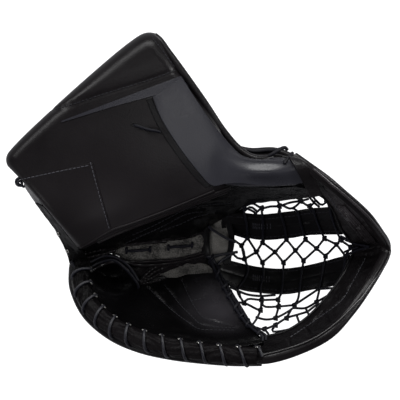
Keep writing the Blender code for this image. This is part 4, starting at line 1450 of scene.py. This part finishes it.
class GLOVE_OT_webs(bpy.types.Operator):
    """Models the two webs of the pocket and the felt base that they spring from."""

    bl_idname = "glove.webs"
    bl_label = "Webs and base"

    def execute(self, context):
        self.web("web_upper", "web_strip_upper", "thumb_half")
        self.web("web_lower", "web_strip_lower", "finger_half")
        for name, sections, cells, thickness, fold, finish, *nodes in (
            ("base_skirt", BASE_SKIRT, (30, 30), 2.0, (14.0, 1.5, 21.0), "leather_palm"),
            ("base_felt", BASE_FELT, (30, 30), 2.6, (9.0, 0.8, 8.0), "felt_grey", "pocket_base"),
            ("base_bar", BASE_BAR, (30, 16), 3.0, (8.0, 1.0, 6.0), "leather_smooth", "pocket_base_bar"),
            ("base_band", BASE_BAND, (30, 10), 2.4, (8.0, 0.8, 1.0), "leather_smooth"),
        ):
            sheet(name, seen(*sections), cells, thickness, fold, finish, "fold", *nodes)
        laces("base_laces", BASE_LACES, 24, sizes().lace, "lace_waxed", "fold")
        return {"FINISHED"}

    def web(self, name, node, body):
        """One web in the bowl of the pocket, with its groove, its sewn edges and its sewn ribs."""
        first, last = (np.array(line, float) for line in WEB_LINES[name])
        middle = 0.5 * (first + last)
        piece, u, v = grid(name, 110, 24)
        edge, other = curve(first, u), curve(last, u)
        crown = 2.0 * (1 - (2 * v - 1) ** 2)
        set_points(piece, in_bowl(edge + v[:, None] * (other - edge), -3.6) + crown[:, None] * UP)
        face_toward(piece, UP)
        crumple(piece, 12.0, 1.0, 15.0)
        press(piece, [middle], 0.7, 0.9)
        thicken(piece, 3.0)
        smooth(piece)
        dress(piece, "leather_smooth", body, node)
        edges = [first + 0.14 * (last - first), last - 0.14 * (last - first)]
        dress(stitches(f"{name}_stitches", edges, [piece]), "thread_black", body)
        ribs = [((x, y - 4.0), (x, y + 4.0)) for x, y in curve(middle, np.linspace(0.30, 0.46, 8))]
        dress(stitches(f"{name}_ribs", ribs, [piece]), "thread_dark", body)


KNOTS_UPPER = ((247, 238), (262, 242.5), (286, 239.5), (305, 239.5), (324, 238.5), (340, 240))
KNOTS_CENTRE = (
    (232, 239), (241, 245.5), (256, 252), (274.5, 252), (295, 250.5), (316, 248.5), (336, 244.5), (350, 247)
)
KNOTS_LOWER = ((244, 259), (262, 262.5), (283, 262.5), (303, 260.5), (325, 256), (345, 256))
OVER_UPPER = (
    ((247, 238), (246.5, 226), (244, 214), (243, 207)), ((262, 242.5), (262.5, 224), (261, 208)),
    ((286, 239.5), (284, 226), (279.5, 212), (279, 206)),
    ((305, 239.5), (300.5, 224), (296.5, 211), (291, 208)),
    ((324, 238.5), (318, 225), (312.5, 210), (309, 206)),
    ((340, 240), (333.5, 224), (328, 205), (326, 200.5)),
)  # fmt: skip
OVER_LOWER = (
    ((244, 259), (247.5, 270), (243, 281), (237, 291), (243.5, 303)),
    ((262, 262.5), (263, 275), (260, 288), (261, 300)),
    ((283, 262.5), (282.5, 277), (281, 292), (277.5, 299.5)),
    ((303, 260.5), (301, 275), (299, 290), (297.5, 299), (294, 305)),
    ((325, 256), (322, 273), (319, 289), (316, 302)), ((345, 256), (343, 270), (337, 284), (334, 292)),
)  # fmt: skip
UPPER_NET = (
    ((243, 207), (252, 203.5), (261, 208), (270, 206.5), (279, 206), (290, 202.5), (300, 201), (308, 199)),
    ((276, 198), (279, 206), (278, 213)), ((254, 214), (261, 208)),
    ((281, 205), (291, 208.5), (300, 201), (294, 197)), ((300, 201), (309, 206), (315, 200), (311, 196)),
    ((315, 200), (321, 205), (326, 200.5), (319, 195)), ((326, 200.5), (334, 206), (338, 212)),
    ((309, 206), (311, 212)), ((252, 203.5), (249, 199)), ((244, 211), (250, 207), (257, 211.5)),
    ((245, 208), (252, 211), (256, 214)), ((308, 196), (314, 203), (319, 207)),
)  # fmt: skip
END_NET = (
    ((241, 245.5), (243.5, 252), (244, 259)), ((232, 253), (237, 258), (244, 259)),
    ((234, 234), (240, 236), (247, 238)), ((340, 236), (346, 239), (354, 244)),
    ((342, 240), (349, 237), (355, 241)), ((344, 252), (351, 249), (358, 247)),
    ((343, 257), (350, 253), (357, 250)), ((345, 240), (356, 244), (369, 246.5)),
    ((345, 256), (357, 250), (369, 247)), ((238, 291), (247, 294.5), (260, 296), (275, 295)),
    ((229, 287), (236, 290), (240, 294)), ((308, 311), (313, 307), (319, 303)),
    ((226, 282), (233, 287), (238, 291), (240, 298)),
)  # fmt: skip
LOWER_NET = (
    ((243.5, 303), (248, 299), (261, 300), (277.5, 299.5)),
    ((232, 303), (243.5, 303), (256, 309), (260, 310)), ((261, 300), (260, 310), (256, 319), (251, 326)),
    ((261, 300), (264, 306.5), (278, 306.5), (294, 305)), ((277.5, 299.5), (278, 306.5), (275, 318)),
    ((255, 317), (265, 319.5), (275, 318), (286, 312.5), (294, 307)), ((294, 305), (306, 297), (318, 289)),
    ((293, 308), (305, 308), (316, 302), (330, 294)), ((275, 325), (286, 318), (296, 315), (306, 312)),
    ((286, 318), (291, 309)), ((255, 328), (264, 329), (275, 325)),
    ((275, 325), (272, 331.5), (288, 329.5), (300, 325)), ((264, 329), (268, 334)),
    ((290, 330), (285, 335)), ((296, 315), (300, 325), (306, 330)), ((316, 302), (321, 307)),
    ((318, 289), (334, 288)), ((305, 308), (309, 316)),
)  # fmt: skip
NET_KNOTS = (
    (261, 208), (279, 206), (300, 201), (309, 206), (326, 200.5), (243.5, 303), (261, 300), (277.5, 299.5),
    (294, 305), (260, 310), (275, 318), (278, 306.5), (286, 318), (275, 325), (264, 329), (316, 302),
)  # fmt: skip


class GLOVE_OT_net(bpy.types.Operator):
    """Models the knotted net in front of the webs."""

    bl_idname = "glove.net"
    bl_label = "Net"

    def execute(self, context):
        zigzag = []
        for row in (KNOTS_UPPER, KNOTS_LOWER):
            for number, spot in enumerate(row):
                zigzag.append((KNOTS_CENTRE[number + 1], spot))
                if number + 2 < len(KNOTS_CENTRE):
                    zigzag.append((spot, KNOTS_CENTRE[number + 2]))
        zigzag.append((KNOTS_CENTRE[0], KNOTS_CENTRE[1]))
        paths = []
        for line in (*zigzag, *OVER_UPPER, *OVER_LOWER, *UPPER_NET, *LOWER_NET, *END_NET):
            line = np.array(line, float)
            paths.append(in_bowl(route(line, max(int(length_of(line) / 2.5), 4))))
        turn = np.linspace(0, 4.4 * math.pi, 26)
        along = 2.2 * (2 * turn / turn[-1] - 1)
        for spot in in_bowl((*KNOTS_UPPER, *KNOTS_LOWER, *NET_KNOTS)):
            paths.append(spot + np.column_stack((1.7 * np.cos(turn), along, 1.7 * np.sin(turn))))
        for spot in in_bowl(KNOTS_CENTRE[1:]):
            paths.append(spot + np.column_stack((along, 1.8 * np.cos(turn), 1.8 * np.sin(turn))))
        net = tubes("pocket_lacing", paths, sizes().net_lace, 2)
        dress(net, "lace_net", "fold", "net_upper", "net_middle", "net_lower")
        return {"FINISHED"}


class GLOVE_OT_back(bpy.types.Operator):
    """Models the stuffed back of the fingers and thumb, the sleeves inside and the hand strap."""

    bl_idname = "glove.back"
    bl_label = "Back"

    def execute(self, context):
        fingers = stuffed("finger_back_cushion", "finger_back_pad", 4.0, 0.0)
        channels(fingers, (-94, -56, -18, 20), 3.5, 4.0)
        dress(fingers, "leather_black", "finger_half", "finger_back_pad")
        thumb = stuffed("thumb_back_cushion", "thumb_back_pad", 4.0, 0.0)
        channels(thumb, (22, 56, 90), 3.0, 4.0)
        dress(thumb, "leather_black", "thumb_half", "thumb_back_pad")
        for number in range(1, 5):
            sleeve = softened(f"finger_sleeve_{number}", f"finger_stall_{number}", 1, 9.0, 0.6)
            dress(sleeve, "cloth_lining", "finger_half", f"finger_stall_{number}")
        sleeve = softened("thumb_sleeve", "thumb_stall", 1, 9.0, 0.6)
        dress(sleeve, "cloth_lining", "thumb_half", "thumb_stall")
        strap = softened("hand_strap_web", "hand_strap", 2)
        dress(strap, "webbing", "hand_strap", "hand_strap")
        return {"FINISHED"}


WRIST_MIDDLE = np.array((-115.0, 82.0, 8.0))
STRAP_CORNER = np.array((-157.0, 16.0, 0.0))
PADWARD = np.array((-0.667, 0.745, 0.0))
WRIST_GUSSET = (
    ((34, 203, 98), (50, 224.5, 96), (59, 239, 92), (66, 254, 88), (69, 264, 84)),
    ((44, 207, 110), (60, 226, 108), (72, 241, 104), (82, 252, 96), (86, 258, 88)),
)
GUSSET_EYELETS = ((58, 234), (67, 251))


class GLOVE_OT_wrist(bpy.types.Operator):
    """Models the stuffed wrist pad, the two flaps and the wrist strap."""

    bl_idname = "glove.wrist"
    bl_label = "Wrist"

    def execute(self, context):
        cushion = stuffed("wrist_cushion", "wrist_pad", 3.0, 0.0)
        dress(cushion, "leather_black", "thumb_half", "wrist_pad")
        for side in ("inner", "outer"):
            flap = softened(f"wrist_side_{side}", f"wrist_flap_{side}", 2, 22.0, 2.0)
            self.tuck(flap)
            dress(flap, "leather_palm", "thumb_half", f"wrist_flap_{side}")
        gusset = sheet(
            "wrist_gusset", seen(*WRIST_GUSSET), (50, 16), 2.0, (9.0, 1.6, 17.0), "leather_palm", "fold"
        )
        spots, facing = drape(GUSSET_EYELETS, [gusset])
        eyelets("wrist_eyelets", spots, facing, 0.5, 1.7, 0.6, "nickel_plate", "fold")
        strap = softened("wrist_strap_web", "wrist_strap", 2)
        dress(strap, "webbing", "wrist_strap", "wrist_strap")
        return {"FINISHED"}

    def tuck(self, flap):
        """Draws the foot of a flap in under the wrist pad, and leaves the side of the strap as it is."""
        places = points_of(flap)
        over_pad = np.clip((places - STRAP_CORNER) @ PADWARD / 8, 0, 1)
        share = over_pad * np.clip((34 - places[:, 2]) / 18, 0, 1) ** 2
        toward = unit((WRIST_MIDDLE - places) * (1, 1, 0))
        set_points(flap, places + share[:, None] * (4.5 * toward + 7.0 * DOWN))


# The area lights: name, place, size and power. The fill light leaves no reflection.
LIGHTS = (
    ("key", (-0.10, 2.7, 1.9), (2.6, 1.2), 82.0),
    ("left", (-1.8, 1.8, 1.7), (1.0, 1.0), 26.0),
    ("right", (1.9, 1.0, 1.3), (0.6, 1.2), 34.0),
    ("top", (0.1, 0.60, 2.6), (0.8, 0.3), 3.0),
    ("front", (-1.7, -1.6, 1.7), (0.8, 0.8), 8.0),
    ("fill", (-1.5, -1.2, 2.4), (2.0, 2.0), 78.0),
)
LIT_PLACE = Vector((0, 0, 0.1))
FLOOR_LEVEL = -0.004


class GLOVE_OT_stage(bpy.types.Operator):
    """Sets up the floor, the soft lights and the camera over the glove."""

    bl_idname = "glove.stage"
    bl_label = "Stage"

    def execute(self, context):
        scene = context.scene
        scene.view_settings.view_transform = "Standard"
        bpy.ops.object.select_all(action="DESELECT")
        bpy.ops.mesh.primitive_plane_add(size=12, location=(0, 0, FLOOR_LEVEL))
        floor = context.object
        floor.name = "floor"
        paper = bpy.data.materials.new("paper_white")
        paper.use_nodes = True
        shader = paper.node_tree.nodes["Principled BSDF"]
        shader.inputs["Base Color"].default_value = (0.25, 0.25, 0.26, 1)
        shader.inputs["Roughness"].default_value = 0.9
        to_camera = add_node(paper.node_tree, "ShaderNodeLightPath").outputs["Is Camera Ray"]
        glow = mix(paper.node_tree, to_camera, (0.16, 0.16, 0.17, 1), (1, 1, 1, 1))
        paper.node_tree.links.new(glow, shader.inputs["Emission Color"])
        shader.inputs["Emission Strength"].default_value = 1.0
        floor.data.materials.append(paper)
        world = bpy.data.worlds.new("studio")
        world.use_nodes = True
        world.node_tree.nodes["Background"].inputs["Color"].default_value = (0.9, 0.93, 1.0, 1)
        world.node_tree.nodes["Background"].inputs["Strength"].default_value = 0.04
        scene.world = world
        for name, place, size, power in LIGHTS:
            bpy.ops.object.light_add(type="AREA", location=place)
            light = context.object
            light.name = name
            light.data.shape = "RECTANGLE"
            light.data.size, light.data.size_y = size
            light.data.energy = power
            light.visible_glossy = name != "fill"
            light.rotation_euler = (LIT_PLACE - Vector(place)).to_track_quat("-Z", "Y").to_euler()
        height = (EYE_PLANE + EYE_HEIGHT) * MM
        bpy.ops.object.camera_add(location=(0, 0, height), rotation=(0, 0, 0))
        camera = context.object
        camera.data.sensor_width = SENSOR_WIDTH
        camera.data.lens = SENSOR_WIDTH * EYE_HEIGHT / (PIXEL * PICTURE)
        camera.data.clip_end = 50.0
        scene.camera = camera
        return {"FINISHED"}


class GLOVE_PT_panel(bpy.types.Panel):
    """Lists the steps that dress the glove."""

    bl_label = "Catching Glove"
    bl_idname = "GLOVE_PT_panel"
    bl_space_type = "VIEW_3D"
    bl_region_type = "UI"
    bl_category = "Glove"

    def draw(self, context):
        for group in (context.scene.glove_sizes, context.scene.glove_colours):
            for name in group.__annotations__:
                self.layout.prop(group, name)
        for step in STEPS:
            self.layout.operator(step.bl_idname)


STEPS = (
    GLOVE_OT_stage, GLOVE_OT_finishes, GLOVE_OT_cuff, GLOVE_OT_thumb, GLOVE_OT_panel, GLOVE_OT_rim,
    GLOVE_OT_roll, GLOVE_OT_palm, GLOVE_OT_webs, GLOVE_OT_net, GLOVE_OT_back, GLOVE_OT_wrist,
)  # fmt: skip
CLASSES = (GloveSizes, GloveColours, *STEPS, GLOVE_PT_panel)


def register():
    for item in CLASSES:
        bpy.utils.register_class(item)
    bpy.types.Scene.glove_sizes = PointerProperty(type=GloveSizes)
    bpy.types.Scene.glove_colours = PointerProperty(type=GloveColours)


def unregister():
    del bpy.types.Scene.glove_sizes
    del bpy.types.Scene.glove_colours
    for item in reversed(CLASSES):
        bpy.utils.unregister_class(item)


def main():
    register()
    for leftover in ("Cube", "Light", "Camera"):
        if leftover in bpy.data.objects:
            bpy.data.objects.remove(bpy.data.objects[leftover])
    for step in STEPS:
        group, name = step.bl_idname.split(".")
        getattr(getattr(bpy.ops, group), name)()


if __name__ == "__main__":
    main()
